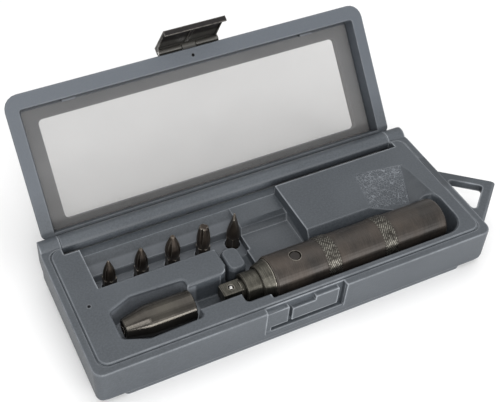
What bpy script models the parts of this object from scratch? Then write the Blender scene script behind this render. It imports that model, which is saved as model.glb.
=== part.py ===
"""A hand impact driver kit: the driver, its bit holder and five bits in a moulded case with the lid open.

Lengths are in metres and +Z is up. The origin is the middle of the face that the case stands on.
The case opens towards -Y, the driver lies along X, and the handle loop is at the +X end.
"""

import math

import bmesh
import bpy
from mathutils import Matrix, Vector

# Fits and cutters
FIT = 0.0003
OVERRUN = 0.002
MERGE = FIT / 100

# How finely round shapes are cut
DRIVER_STEPS = 48
SMALL_STEPS = 24
PIN_STEPS = 16
CORNER_STEPS = 5
TAPER_STEPS = 6
HEX_SIDES = 6

# Driver body, measured forward from the striking face
BODY_RADIUS = 0.014
BODY_LENGTH = 0.1205
BODY_FRONT_CHAMFER = 0.0012
STRIKE_CHAMFER = 0.0011
STRIKE_SOLID = 0.034
BORE_RADIUS = 0.0095
KNURL_WIDTH = 0.0098
KNURL_RISE = 0.0002
REAR_KNURL_START = 0.0363
FRONT_KNURL_START = 0.0765

# Cam pins, which carry the blow from the body into the spindle's slots
CAM_PIN_FROM_FRONT = 0.0172
CAM_PIN_RADIUS = 0.0034
CAM_PIN_REACH = 0.0073
CAM_PIN_SUNK = 0.0003
CAM_PIN_CHAMFER = 0.0005
PLUNGE = 0.006
PLUNGE_TURN = math.radians(25)

# Front bushing, screwed into the body
BUSHING_SHANK_RADIUS = 0.0113
BUSHING_SHANK_LENGTH = 0.0123
BUSHING_HEAD_LENGTH = 0.0073
BUSHING_HEAD_REAR_RADIUS = 0.0127
BUSHING_HEAD_FRONT_RADIUS = 0.0107
BUSHING_EDGE = 0.0004
SEAL_SECTION_RADIUS = 0.0005
SEAL_FROM_HEAD = 0.0026

# Spindle with its square drive
SPINDLE_RADIUS = 0.009
NOSE_LENGTH = 0.0101
NOSE_CHAMFER = 0.0007
SPINDLE_SHOULDER_BEHIND_PIN = 0.0132
STEM_RADIUS = 0.0046
STEM_LENGTH = 0.028
NECK_RADIUS = 0.0058
NECK_LENGTH = 0.0022
SQUARE_SIDE = 0.0095
SQUARE_LENGTH = 0.0115
SQUARE_CHAMFER = 0.0009
SQUARE_EDGE = 0.0006

# Spring, washers and the detent ball
WASHER_THICKNESS = 0.0017
WASHER_ROOM = 0.0004
SPRING_WIRE_RADIUS = 0.00105
SPRING_TURNS = 7.25
SPRING_TURN_POINTS = 12
BALL_RADIUS = 0.0016
BALL_PROUD = 0.0008
BALL_FROM_TIP = 0.0062
BALL_HOLE_DEPTH = 0.0072
DETENT_WIRE_RADIUS = 0.00025
DETENT_TURNS = 3.5
DETENT_TURN_POINTS = 8

# Bit holder, measured from its small end
HOLDER_LENGTH = 0.043
HOLDER_RADIUS = 0.0095
HOLDER_SMALL_RADIUS = 0.0062
HOLDER_TAPER_LENGTH = 0.0138
HOLDER_EDGE = 0.0006
HEX_FLATS = 0.008
HEX_SOCKET_DEPTH = 0.015
MAGNET_RADIUS = 0.003
MAGNET_LENGTH = 0.003
SQUARE_SOCKET_DEPTH = 0.0125
SOCKET_LEAD = 0.0008
SOCKET_PLAY = 0.0004

# Bits, which stand in a row with their tips up
BIT_PITCH = 0.021
BIT_SHANK_LENGTH = 0.0135
BIT_EDGE = 0.0005
CROSS_BITS = {
    "bit_cross_small": {"length": 0.0286, "tip_radius": 0.0007, "core": 0.0012, "bulge": 0.0012},
    "bit_cross_medium": {"length": 0.0296, "tip_radius": 0.0013, "core": 0.0015, "bulge": 0.0016},
    "bit_cross_large": {"length": 0.0313, "tip_radius": 0.0016, "core": 0.0017, "bulge": 0.0024},
    "bit_cross_blunt": {"length": 0.0306, "tip_radius": 0.0030, "core": 0.0019, "bulge": 0.0011},
}
SLOTTED_BIT_LENGTH = 0.0326
SLOTTED_TIP_THICKNESS = 0.0009
SLOTTED_TIP_WIDTH = 0.0078
SLOTTED_TWIST = math.radians(-22)
FLUTE_WIDTH = 0.0026
FLUTE_LIFT_SHARE = 0.71
FLUTE_TILT = math.radians(9)

# Where things lie in the case, from its left end, its front edge and its ledge
HOLDER_FROM_LEFT = 0.0275
HOLDER_TO_SQUARE = 0.0192
DRIVER_TO_RIGHT = 0.0233
DRIVER_FROM_FRONT = 0.0282
DRIVER_BELOW_LEDGE = 0.007
HOLDER_LIFT = 0.0015
BITS_BEHIND_DRIVER = 0.0428
BITS_TO_BACK = 0.029
FIRST_BIT_FROM_HOLDER = 0.0077

# Case base
CASE_FLOOR = 0.0077
CASE_CORNER = 0.006
LEDGE_WIDTH = 0.0047
GROOVE_WIDTH = 0.0008
GROOVE_DEPTH = 0.0008
LAND_RISE = 0.001
CASE_DRAFT = 0.0006
CASE_LOW_CORNER = 0.0035
CASE_END_ROUND = 0.003
CASE_SIDE_ROUND = 0.0003
FOOT_HEIGHT = 0.0033
FOOT_END_INSET = 0.0165
FOOT_SIDE_INSET = 0.0011
FOOT_SLOPE = 0.0003

# Wells in the tray
WELL_ROUND = 0.0012
DRIVER_WELL_ROOM = 0.0008
DRIVER_WELL_FLARE = 0.0036
DRIVER_WELL_END_ROOM = 0.0078
DRIVER_WELL_CORNER = 0.0118
DRIVER_WELL_LOW_CORNER = 0.0045
WELL_SIDE_SHARE = 0.75
WELL_LEVEL_SHARES = (1.0, 0.8, 0.6, 0.4, 0.2, 0.0)
DRIVER_WELL_END_DRAFT = 0.0022
NOSE_WELL_ROOM = 0.0048
NOSE_WELL_START = 0.0072
HOLDER_WELL_END_ROOM = 0.0042
HOLDER_WELL_SIDE_ROOM = 0.0062
HOLDER_WELL_TIP_ROOM = 0.0038
HOLDER_WELL_FRONT_ROOM = 0.0011
NECK_WELL_ROOM = 0.0039
NECK_WELL_FLOOR_ROOM = 0.003
BITS_WELL_FRONT_ROOM = 0.0135
BITS_WELL_END_ROOM = 0.0119
BITS_WELL_DEPTH = 0.019
BITS_SHELF_DEPTH = 0.0135
BITS_SHELF_ROOM = 0.0062
BIT_POCKET_DEPTH = 0.0051
BIT_POCKET_ROOM = 0.0004
MIDDLE_WELL_DEPTH = 0.0135
MIDDLE_SHELF_DEPTH = 0.0068
MIDDLE_SHELF_WIDTH = 0.0045
MIDDLE_WELL_LENGTH = 0.0334
MIDDLE_WELL_FRONT = 0.0105
PLATFORM_END_FROM_SQUARE = 0.0097
SADDLE_LENGTH = 0.0118
SADDLE_WIDTH = 0.0176
SADDLE_GAP = 0.0016
SADDLE_FROM_AXIS = 0.0102
SADDLE_BELOW_LEDGE = 0.0012
SADDLE_CORNER = 0.004
PLATFORM_FRONT_CORNER = 0.005
PLATFORM_BACK_CORNER = 0.0045
SCOOP_FRONT_START = 0.0375
SCOOP_BACK_START = 0.0325
SCOOP_VALLEY = 0.0055
SCOOP_END = 0.002
SCOOP_DEPTH = 0.0085
SCOOP_BACK = 0.0478
SCOOP_BACK_END = 0.0436
NEEDLE_HOLE_RADIUS = 0.0008
NEEDLE_HOLE_DEPTH = 0.003
NEEDLE_HOLE_FROM_LEFT = 0.0138
NEEDLE_HOLE_FROM_FRONT = 0.0466

# Handle loop at the right end
HANDLE_REACH = 0.0302
HANDLE_THICKNESS = 0.0055
HANDLE_BELOW_LEDGE = 0.001
HANDLE_FRONT_ROOT = 0.0088
HANDLE_BACK_ROOT = 0.0608
HANDLE_TIP = 0.0358
HANDLE_ARM = 0.0068
HANDLE_CORNER = 0.0022
HANDLE_EDGE = 0.0012

# Lid, measured as it lies when closed
LID_INSET = 0.0057
LID_FRONT_INSET = 0.0054
LID_BACK_INSET = 0.0036
LID_HEIGHT = 0.014
LID_CORNER = 0.0095
LID_HINGE_CORNER = 0.0035
LID_DRAFT = 0.0015
LID_TOP_ROUND = 0.0028
LID_RIM = 0.0083
LID_FRONT_RIM = 0.0096
LID_BACK_WALL = 0.0009
LID_RECESS_DEPTH = 0.0095
LID_RECESS_CORNER = 0.002
LID_RECESS_DRAFT = 0.0007
WINDOW_SIDE_FRAME = 0.0112
WINDOW_FRONT_FRAME = 0.0093
WINDOW_BACK_FRAME = 0.0069
WINDOW_CORNER = 0.003
SHEET_THICKNESS = 0.0008
SHEET_ROOM = 0.0012
TAB_LENGTH = 0.009
TAB_REACH = 0.0022
TAB_THICKNESS = 0.001
TAB_END_SHARE = 0.14
LID_HOLE_RADIUS = 0.0008
LID_HOLE_FROM_EDGE = 0.0049

# Hinge
HINGE_BEHIND_BACK = 0.0012
HINGE_BELOW_LEDGE = 0.003
HINGE_RADIUS = 0.006
HINGE_ROOM = 0.0007
CHANNEL_INSET = 0.0108
CHANNEL_DEPTH = 0.0065
KNUCKLE_LENGTH = 0.0132
KNUCKLE_INSET = 0.0009
HINGE_PIN_RADIUS = 0.0016
HINGE_PIN_LENGTH = 0.0165
HINGE_PIN_IN_KNUCKLE = 0.0085
LID_OPEN_ANGLE = math.radians(130)
SPINE_THICKNESS = 0.0031
SPINE_HEIGHT = 0.0095
GUSSET_DEPTH = 0.0152
GUSSET_REACH = 0.0043

# Latch and its catch
LATCH_WIDTH = 0.0426
LATCH_SHEET = 0.001
LATCH_PIVOT_OUT = 0.0018
LATCH_PIVOT_UP = 0.005
LATCH_STEP = 0.0037
LATCH_TOP = 0.0024
LATCH_DROP = 0.0245
LATCH_LIP = 0.0026
LATCH_CHEEK_SHARE = 0.85
LATCH_CHEEK_DEPTH = 0.0017
LATCH_RIB_WIDTH = 0.0026
LATCH_RIB_RISE = 0.0007
LATCH_EAR_WIDTH = 0.016
LATCH_EAR_RADIUS = 0.0022
LATCH_PIN_RADIUS = 0.0012
LATCH_OPEN_ANGLE = math.radians(18)
LATCH_LUG_GAP = 0.0006
BAY_SIDE_ROOM = 0.0053
BAY_HEIGHT = 0.0245
BAY_DEPTH = 0.0018
CATCH_POCKET_DEPTH = 0.0046
CATCH_POCKET_HEIGHT = 0.0195
CATCH_BAR_BOTTOM = 0.0167
CATCH_BAR_SIDE_ROOM = 0.0043
CATCH_BAR_LEFT_ROOM = 0.0177
CATCH_BAR_STEP_SHARE = 0.49
CATCH_LOW_TOP = 0.0061
CATCH_HIGH_TOP = 0.0025
CATCH_LEFT_TOP = 0.0031
CATCH_SLOT = 0.0026

# Sizes that follow from the ones above
DRIVER_LENGTH = (
    BODY_LENGTH + FIT + BUSHING_HEAD_LENGTH + NOSE_LENGTH + NECK_LENGTH + SQUARE_LENGTH
)
CASE_LENGTH = HOLDER_FROM_LEFT + HOLDER_LENGTH + HOLDER_TO_SQUARE + DRIVER_LENGTH + DRIVER_TO_RIGHT
CASE_DEPTH = DRIVER_FROM_FRONT + BITS_BEHIND_DRIVER + BITS_TO_BACK
LEDGE_Z = DRIVER_BELOW_LEDGE + BODY_RADIUS + FIT + CASE_FLOOR
LEFT = -CASE_LENGTH / 2
RIGHT = CASE_LENGTH / 2
FRONT = -CASE_DEPTH / 2
BACK = CASE_DEPTH / 2
LAND_Z = LEDGE_Z + LAND_RISE
LAND_INSET = LEDGE_WIDTH + GROOVE_WIDTH

DRIVER_REAR_X = RIGHT - DRIVER_TO_RIGHT
DRIVER_Y = FRONT + DRIVER_FROM_FRONT
DRIVER_Z = LEDGE_Z - DRIVER_BELOW_LEDGE
SQUARE_TIP_X = DRIVER_REAR_X - DRIVER_LENGTH
BUSHING_FRONT = BODY_LENGTH + FIT + BUSHING_HEAD_LENGTH
NOSE_FRONT = BUSHING_FRONT + NOSE_LENGTH
CAM_PIN_AT = BODY_LENGTH - CAM_PIN_FROM_FRONT
SPINDLE_SHOULDER = CAM_PIN_AT - SPINDLE_SHOULDER_BEHIND_PIN

HOLDER_X = LEFT + HOLDER_FROM_LEFT
HOLDER_Z = DRIVER_Z + HOLDER_LIFT
HEX_RADIUS = HEX_FLATS / math.sqrt(3)

BITS_Y = DRIVER_Y + BITS_BEHIND_DRIVER
FIRST_BIT_X = HOLDER_X + FIRST_BIT_FROM_HOLDER
BITS_FLOOR_Z = LEDGE_Z - BITS_WELL_DEPTH
BIT_BOTTOM_Z = BITS_FLOOR_Z - BIT_POCKET_DEPTH + FIT
BITS_COUNT = len(CROSS_BITS) + 1
LAST_BIT_X = FIRST_BIT_X + BIT_PITCH * (BITS_COUNT - 1)
BITS_FRONT_Y = BITS_Y - BITS_WELL_FRONT_ROOM
PLATFORM_END_X = SQUARE_TIP_X + PLATFORM_END_FROM_SQUARE
MIDDLE_WELL_START_X = LAST_BIT_X + HEX_RADIUS + BIT_POCKET_ROOM + FIT * 2
MIDDLE_WELL_END_X = MIDDLE_WELL_START_X + MIDDLE_WELL_LENGTH

HINGE_Y = BACK + HINGE_BEHIND_BACK
HINGE_Z = LEDGE_Z - HINGE_BELOW_LEDGE
CHANNEL_Y = BACK - CHANNEL_INSET
CHANNEL_Z = LEDGE_Z - CHANNEL_DEPTH
BARREL_LEFT = LEFT + KNUCKLE_INSET + KNUCKLE_LENGTH + FIT
BARREL_RIGHT = RIGHT - KNUCKLE_INSET - KNUCKLE_LENGTH - FIT

LID_RIM_Z = LAND_Z + FIT
LID_TOP_Z = LID_RIM_Z + LID_HEIGHT
LID_LEFT = LEFT + LID_INSET
LID_RIGHT = RIGHT - LID_INSET
LID_FRONT = FRONT + LID_FRONT_INSET
LID_BACK = BACK - LID_BACK_INSET
RECESS_TOP_Z = LID_RIM_Z + LID_RECESS_DEPTH
RECESS_LEFT = LID_LEFT + LID_RIM
RECESS_RIGHT = LID_RIGHT - LID_RIM
RECESS_FRONT = LID_FRONT + LID_FRONT_RIM
RECESS_BACK = LID_BACK - LID_BACK_WALL

LATCH_Y = LID_FRONT - LATCH_PIVOT_OUT
LATCH_Z = LID_RIM_Z + LATCH_PIVOT_UP
CATCH_BAR_LEFT = CATCH_BAR_LEFT_ROOM - LATCH_WIDTH / 2 - BAY_SIDE_ROOM
CATCH_BAR_RIGHT = LATCH_WIDTH / 2 + BAY_SIDE_ROOM - CATCH_BAR_SIDE_ROOM


def start_scene():
    """Clears the scene and makes a collection for the parts and one for the cutters."""
    for found in list(bpy.data.objects):
        bpy.data.objects.remove(found, do_unlink=True)
    parts = bpy.data.collections.new("hand_impact_driver")
    cutters = bpy.data.collections.new("cutters")
    for group in (parts, cutters):
        bpy.context.scene.collection.children.link(group)
    return parts, cutters


PARTS, CUTTERS = start_scene()


def material(name, colour, roughness, metallic=0.0):
    made = bpy.data.materials.new(name)
    made.use_nodes = True
    shader = made.node_tree.nodes["Principled BSDF"]
    shader.inputs["Base Color"].default_value = (*colour, 1.0)
    shader.inputs["Roughness"].default_value = roughness
    shader.inputs["Metallic"].default_value = metallic
    return made


CASE_PLASTIC = material("case_plastic", (0.127, 0.138, 0.159), 0.55)
DARK_STEEL = material("dark_steel", (0.053, 0.045, 0.036), 0.38, 0.9)
BIT_STEEL = material("bit_steel", (0.062, 0.045, 0.036), 0.5, 0.85)
BRIGHT_STEEL = material("bright_steel", (0.55, 0.54, 0.52), 0.25, 1.0)
LATCH_METAL = material("latch_metal", (0.045, 0.038, 0.034), 0.5, 0.4)
WINDOW_CLEAR = material("window_clear", (0.62, 0.61, 0.59), 0.35)
SEAL_RUBBER = material("seal_rubber", (0.02, 0.02, 0.02), 0.8)


def placed(name, mesh, finish=None, at=(0, 0, 0), parent=None):
    """An object in the parts collection, or in the cutters if it has no finish."""
    made = bpy.data.objects.new(name, mesh)
    if finish is None:
        CUTTERS.objects.link(made)
        made.hide_render = True
        made.display_type = "WIRE"
    else:
        PARTS.objects.link(made)
        mesh.materials.append(finish)
    made.location = at
    made.parent = parent
    return made


def mesh_of(name, shape):
    """A mesh from a bmesh, with its faces turned outwards."""
    bmesh.ops.recalc_face_normals(shape, faces=shape.faces)
    mesh = bpy.data.meshes.new(name)
    shape.to_mesh(mesh)
    shape.free()
    return mesh


def box(name, low, high, finish=None, at=(0, 0, 0), parent=None):
    shape = bmesh.new()
    bmesh.ops.create_cube(shape, size=1.0)
    middle = (Vector(low) + Vector(high)) / 2
    size = Vector(high) - Vector(low)
    bmesh.ops.transform(
        shape, matrix=Matrix.Translation(middle) @ Matrix.Diagonal((*size, 1.0)), verts=shape.verts
    )
    return placed(name, mesh_of(name, shape), finish, at, parent)


def rod(name, radius, start, end, steps, finish=None, at=(0, 0, 0), parent=None, end_radius=None):
    """A round rod, or a cone where the end radius differs, between two points."""
    start, end = Vector(start), Vector(end)
    shape = bmesh.new()
    bmesh.ops.create_cone(
        shape,
        cap_ends=True,
        segments=steps,
        radius1=radius,
        radius2=radius if end_radius is None else end_radius,
        depth=(end - start).length,
    )
    turn = (end - start).to_track_quat("Z", "Y").to_matrix().to_4x4()
    bmesh.ops.transform(
        shape, matrix=Matrix.Translation((start + end) / 2) @ turn, verts=shape.verts
    )
    return placed(name, mesh_of(name, shape), finish, at, parent)


def lofted(name, rings, finish=None, at=(0, 0, 0), parent=None):
    """A closed solid through rings that have the same number of points."""
    shape = bmesh.new()
    loops = [[shape.verts.new(point) for point in ring] for ring in rings]
    count = len(loops[0])
    for below, above in zip(loops, loops[1:]):
        for i in range(count):
            j = (i + 1) % count
            shape.faces.new((below[i], below[j], above[j], above[i]))
    shape.faces.new(loops[0][::-1])
    shape.faces.new(loops[-1])
    return placed(name, mesh_of(name, shape), finish, at, parent)


def hull(name, points, finish=None, at=(0, 0, 0), parent=None):
    """The convex solid around some points."""
    shape = bmesh.new()
    for point in points:
        shape.verts.new(point)
    made = bmesh.ops.convex_hull(shape, input=shape.verts)
    spare = {v for v in made["geom_interior"] + made["geom_unused"] if isinstance(v, bmesh.types.BMVert)}
    bmesh.ops.delete(shape, geom=list(spare), context="VERTS")
    return placed(name, mesh_of(name, shape), finish, at, parent)


def turned(name, profile, steps, finish=None, at=(0, 0, 0), parent=None, axis="X"):
    """A turned piece. The profile holds (place along the axis, radius) pairs.

    It starts and ends on the axis, or is a closed loop that stays clear of it.
    """
    closed_loop = profile[0][1] > 0
    area = sum(a[0] * b[1] - b[0] * a[1] for a, b in zip(profile, profile[1:] + profile[:1]))
    if area < 0:
        profile = profile[::-1]
    mesh = bpy.data.meshes.new(name)
    if axis == "X":
        points = [(along, 0, radius) for along, radius in profile]
    else:
        points = [(radius, 0, along) for along, radius in profile]
    edges = [(i, i + 1) for i in range(len(points) - 1)]
    if closed_loop:
        edges.append((len(points) - 1, 0))
    mesh.from_pydata(points, edges, [])
    made = placed(name, mesh, finish, at, parent)
    screw = made.modifiers.new("turn", "SCREW")
    screw.axis = axis
    screw.steps = steps
    screw.render_steps = steps
    screw.use_merge_vertices = True
    screw.merge_threshold = MERGE
    screw.use_smooth_shade = True
    return made


def plate(name, outline, low, high, finish=None, at=(0, 0, 0), parent=None, axis="Z", hole=None):
    """A flat piece: an outline, with a hole if one is given, drawn out along an axis.

    Along X the outline holds (y, z) pairs, and along Z it holds (x, y) pairs.
    """
    curve = bpy.data.curves.new(name, "CURVE")
    curve.dimensions = "2D"
    curve.fill_mode = "BOTH"
    curve.extrude = (high - low) / 2
    for loop in (outline, hole):
        if loop is None:
            continue
        spline = curve.splines.new("POLY")
        spline.points.add(len(loop) - 1)
        for point, (u, v) in zip(spline.points, loop):
            point.co = (u, v, 0, 1)
        spline.use_cyclic_u = True
    drawn = bpy.data.objects.new(name + "_outline", curve)
    PARTS.objects.link(drawn)
    bpy.context.view_layer.update()
    graph = bpy.context.evaluated_depsgraph_get()
    mesh = bpy.data.meshes.new_from_object(drawn.evaluated_get(graph))
    bpy.data.objects.remove(drawn, do_unlink=True)
    shape = bmesh.new()
    shape.from_mesh(mesh)
    bmesh.ops.remove_doubles(shape, verts=shape.verts, dist=MERGE)
    turn = Matrix(((0, 0, 1, 0), (1, 0, 0, 0), (0, 1, 0, 0), (0, 0, 0, 1)))
    middle = Matrix.Translation((0, 0, (low + high) / 2))
    bmesh.ops.transform(shape, matrix=turn @ middle if axis == "X" else middle, verts=shape.verts)
    return placed(name, mesh_of(name, shape), finish, at, parent)


def combine(target, other, operation):
    """Cuts the other solid from the target, or joins it on, and keeps the other as a guide."""
    step = target.modifiers.new(f"{operation.lower()}_{other.name}", "BOOLEAN")
    step.operation = operation
    step.solver = "EXACT"
    step.object = other


def cut(target, *others):
    for other in others:
        combine(target, other, "DIFFERENCE")


def join(target, *others):
    for other in others:
        combine(target, other, "UNION")


def smooth(piece, angle=math.radians(30)):
    """Shades a round piece smooth between its sharp edges."""
    piece.data.shade_smooth()
    piece.data.set_sharp_from_angle(angle=angle)


def rectangle(low_x, high_x, low_y, high_y):
    return [(low_x, low_y), (high_x, low_y), (high_x, high_y), (low_x, high_y)]


def shrunk(corners, by):
    """A convex outline, counter-clockwise, with each side moved inwards."""
    lines = []
    for (ax, ay), (bx, by_) in zip(corners, corners[1:] + corners[:1]):
        way = Vector((bx - ax, by_ - ay)).normalized()
        inward = Vector((-way.y, way.x)) * by
        lines.append((Vector((ax, ay)) + inward, way))
    moved = []
    for (p, d), (q, e) in zip(lines[-1:] + lines[:-1], lines):
        share = (q - p).cross(e) / d.cross(e)
        moved.append(tuple(p + d * share))
    return moved


def rounded(corners, radius, steps=CORNER_STEPS):
    """The outline with each corner turned into an arc. The radius is one value, or one for each corner."""
    count = len(corners)
    radii = radius if isinstance(radius, (list, tuple)) else [radius] * count
    points = []
    for i in range(count):
        before, here, after = (Vector(corners[(i + k) % count]) for k in (-1, 0, 1))
        back, on = (before - here).normalized(), (after - here).normalized()
        half = back.angle(on) / 2
        reach = radii[i] / math.tan(half)
        middle = here + (back + on).normalized() * (radii[i] / math.sin(half))
        first = here + back * reach - middle
        last = here + on * reach - middle
        sweep = first.angle_signed(last)
        for k in range(steps + 1):
            turn = Matrix.Rotation(-sweep * k / steps, 2)
            points.append(tuple(middle + turn @ first))
    return points


def at_height(outline, z):
    return [(x, y, z) for x, y in outline]


def well(name, corners, radius, levels):
    """A cutter for a well in the tray, from the widest ring at the top to the floor.

    Each level is a height and how far the walls have come in there.
    """
    top_z, top_in = levels[0]
    levels = [(top_z + OVERRUN, top_in)] + levels
    rings = []
    for z, inset in reversed(levels):
        corner = max(radius - inset, radius / 3)
        rings.append(at_height(rounded(shrunk(corners, inset), corner), z))
    return lofted(name, rings)


def flared(floor_z, draft):
    """Levels of a plain well: a rounded mouth, drafted walls and a rounded foot."""
    depth = LAND_Z - floor_z
    return [
        (LAND_Z, -WELL_ROUND),
        (LAND_Z - WELL_ROUND / 3, -WELL_ROUND / 3),
        (LAND_Z - WELL_ROUND, 0),
        (floor_z + WELL_ROUND, draft * (depth - WELL_ROUND) / depth),
        (floor_z + WELL_ROUND / 3, draft + WELL_ROUND / 3),
        (floor_z, draft + WELL_ROUND),
    ]


def base_block():
    """The outside of the case base: foot, drafted walls, ledge, groove and raised land."""

    def ring(side_in, end_in, corner, z):
        corners = rectangle(LEFT + end_in, RIGHT - end_in, FRONT + side_in, BACK - side_in)
        return at_height(rounded(corners, corner), z)

    bottom_z = FOOT_HEIGHT
    foot_side, foot_end = FOOT_SIDE_INSET + FOOT_SLOPE, FOOT_END_INSET + FOOT_SLOPE
    rings = [
        ring(foot_side, foot_end, CASE_LOW_CORNER, 0),
        ring(FOOT_SIDE_INSET, FOOT_END_INSET, CASE_LOW_CORNER, bottom_z),
        ring(CASE_DRAFT + CASE_SIDE_ROUND, CASE_DRAFT + CASE_END_ROUND, CASE_LOW_CORNER, bottom_z),
        ring(CASE_DRAFT + CASE_SIDE_ROUND / 4, CASE_DRAFT + CASE_END_ROUND / 4, CASE_LOW_CORNER,
             bottom_z + CASE_END_ROUND / 3),
        ring(CASE_DRAFT, CASE_DRAFT, CASE_LOW_CORNER, bottom_z + CASE_END_ROUND),
        ring(WELL_ROUND / 8, WELL_ROUND / 8, CASE_CORNER, LEDGE_Z - WELL_ROUND / 2),
        ring(WELL_ROUND / 3, WELL_ROUND / 3, CASE_CORNER, LEDGE_Z),
        ring(LEDGE_WIDTH, LEDGE_WIDTH, CASE_CORNER, LEDGE_Z),
        ring(LEDGE_WIDTH + GROOVE_WIDTH / 4, LEDGE_WIDTH + GROOVE_WIDTH / 4, CASE_CORNER,
             LEDGE_Z - GROOVE_DEPTH),
        ring(LAND_INSET, LAND_INSET, CASE_CORNER, LEDGE_Z - GROOVE_DEPTH),
        ring(LAND_INSET, LAND_INSET, CASE_CORNER, LAND_Z - WELL_ROUND / 4),
        ring(LAND_INSET + WELL_ROUND / 3, LAND_INSET + WELL_ROUND / 3, CASE_CORNER, LAND_Z),
    ]
    return lofted("case_base", rings, CASE_PLASTIC)


def driver_well():
    """The cradle under the driver: a round floor, flared sides and a rounded right end."""
    radius = BODY_RADIUS + DRIVER_WELL_ROOM
    start_x = DRIVER_REAR_X - BODY_LENGTH - NOSE_WELL_START
    end_x = DRIVER_REAR_X + DRIVER_WELL_END_ROOM
    floor_z = DRIVER_Z - BODY_RADIUS - FIT
    lowest = math.asin((DRIVER_Z - floor_z) / radius)
    rings = []
    for share in WELL_LEVEL_SHARES:
        angle = lowest * share
        half, drop = radius * math.cos(angle), radius * math.sin(angle)
        end_in = DRIVER_WELL_END_DRAFT * share
        corners = rectangle(start_x + end_in, end_x - end_in, DRIVER_Y - half, DRIVER_Y + half)
        corner = min(DRIVER_WELL_LOW_CORNER, half * WELL_SIDE_SHARE)
        corner = [WELL_ROUND, corner, corner, WELL_ROUND]
        rings.append(at_height(rounded(corners, corner), DRIVER_Z - drop))
    for z, out in (
        (LAND_Z - WELL_ROUND, DRIVER_WELL_FLARE),
        (LAND_Z, DRIVER_WELL_FLARE + WELL_ROUND),
        (LAND_Z + OVERRUN, DRIVER_WELL_FLARE + WELL_ROUND),
    ):
        corners = rectangle(start_x, end_x + out / 3, DRIVER_Y - radius - out, DRIVER_Y + radius + out)
        corner = [WELL_ROUND, DRIVER_WELL_CORNER, DRIVER_WELL_CORNER, WELL_ROUND]
        rings.append(at_height(rounded(corners, corner), z))
    return lofted("driver_well", rings)


def nose_well():
    """The narrower end of the cradle, under the bushing and the spindle's nose."""
    half = BUSHING_HEAD_FRONT_RADIUS + NOSE_WELL_ROOM
    low_x = DRIVER_REAR_X - NOSE_FRONT - NOSE_WELL_ROOM
    high_x = DRIVER_REAR_X - BODY_LENGTH + NOSE_WELL_ROOM
    floor_z = DRIVER_Z - BUSHING_HEAD_REAR_RADIUS - DRIVER_WELL_ROOM
    corners = rectangle(low_x, high_x, DRIVER_Y - half, DRIVER_Y + half)
    return well("nose_well", corners, WELL_ROUND * 2, flared(floor_z, NOSE_WELL_ROOM / 3))


def holder_well():
    """The bit holder's well, which narrows towards the holder's small end."""
    low_x = HOLDER_X - HOLDER_WELL_END_ROOM
    high_x = HOLDER_X + HOLDER_LENGTH + HOLDER_WELL_FRONT_ROOM
    wide_x = HOLDER_X + HOLDER_TAPER_LENGTH * WELL_SIDE_SHARE
    half = HOLDER_RADIUS + HOLDER_WELL_SIDE_ROOM
    tip_half = HOLDER_SMALL_RADIUS + HOLDER_WELL_TIP_ROOM
    corners = [
        (low_x, DRIVER_Y - tip_half),
        (wide_x, DRIVER_Y - half),
        (high_x, DRIVER_Y - half + WELL_ROUND),
        (high_x, DRIVER_Y + half - WELL_ROUND),
        (wide_x, DRIVER_Y + half),
        (low_x, DRIVER_Y + tip_half),
    ]
    floor_z = HOLDER_Z - HOLDER_RADIUS - FIT
    return well("holder_well", corners, WELL_ROUND * 2, flared(floor_z, FIT))


def neck_well():
    """The slot for the square drive, which joins the two cradles."""
    half = SQUARE_SIDE / 2 + NECK_WELL_ROOM
    low_x = HOLDER_X + HOLDER_LENGTH - WELL_ROUND
    high_x = DRIVER_REAR_X - NOSE_FRONT
    floor_z = DRIVER_Z - SQUARE_SIDE / 2 - NECK_WELL_FLOOR_ROOM
    corners = rectangle(low_x, high_x, DRIVER_Y - half, DRIVER_Y + half)
    return well("neck_well", corners, WELL_ROUND * 2, flared(floor_z, NECK_WELL_ROOM / 4))


def bits_well():
    """The deep trough that the bits stand in, with a sloped back wall above a shelf."""
    low_x, high_x = FIRST_BIT_X - BITS_WELL_END_ROOM, MIDDLE_WELL_START_X
    shelf_z = LEDGE_Z - BITS_SHELF_DEPTH
    profile = [
        (BITS_FRONT_Y - WELL_ROUND, LAND_Z + OVERRUN),
        (BITS_FRONT_Y - WELL_ROUND, LAND_Z),
        (BITS_FRONT_Y, LAND_Z - WELL_ROUND),
        (BITS_FRONT_Y + WELL_ROUND, BITS_FLOOR_Z + WELL_ROUND),
        (BITS_FRONT_Y + WELL_ROUND * 2, BITS_FLOOR_Z),
        (BITS_Y + BITS_SHELF_ROOM, BITS_FLOOR_Z),
        (BITS_Y + BITS_SHELF_ROOM, shelf_z),
        (BITS_Y + BITS_SHELF_ROOM + WELL_ROUND, shelf_z),
        (CHANNEL_Y + FIT, CHANNEL_Z + FIT),
        (CHANNEL_Y + OVERRUN, CHANNEL_Z + FIT),
        (CHANNEL_Y + OVERRUN, LAND_Z + OVERRUN),
    ]
    return plate("bits_well", profile, low_x, high_x, axis="X")


def middle_well():
    """The shallower well between the bits and the raised pad."""
    floor_z = LEDGE_Z - MIDDLE_WELL_DEPTH
    shelf_z = LEDGE_Z - MIDDLE_SHELF_DEPTH
    shelf_y = BITS_Y + BITS_SHELF_ROOM - WELL_ROUND
    profile = [
        (DRIVER_Y, LAND_Z + OVERRUN),
        (DRIVER_Y, DRIVER_Z),
        (DRIVER_Y + MIDDLE_WELL_FRONT, floor_z),
        (shelf_y - MIDDLE_SHELF_WIDTH - WELL_ROUND, floor_z),
        (shelf_y - MIDDLE_SHELF_WIDTH, shelf_z),
        (shelf_y, shelf_z),
        (CHANNEL_Y + FIT, CHANNEL_Z + FIT * 2),
        (CHANNEL_Y + OVERRUN + FIT, CHANNEL_Z + FIT * 2),
        (CHANNEL_Y + OVERRUN + FIT, LAND_Z + OVERRUN),
    ]
    return plate("middle_well", profile, PLATFORM_END_X, MIDDLE_WELL_END_X, axis="X")


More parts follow.
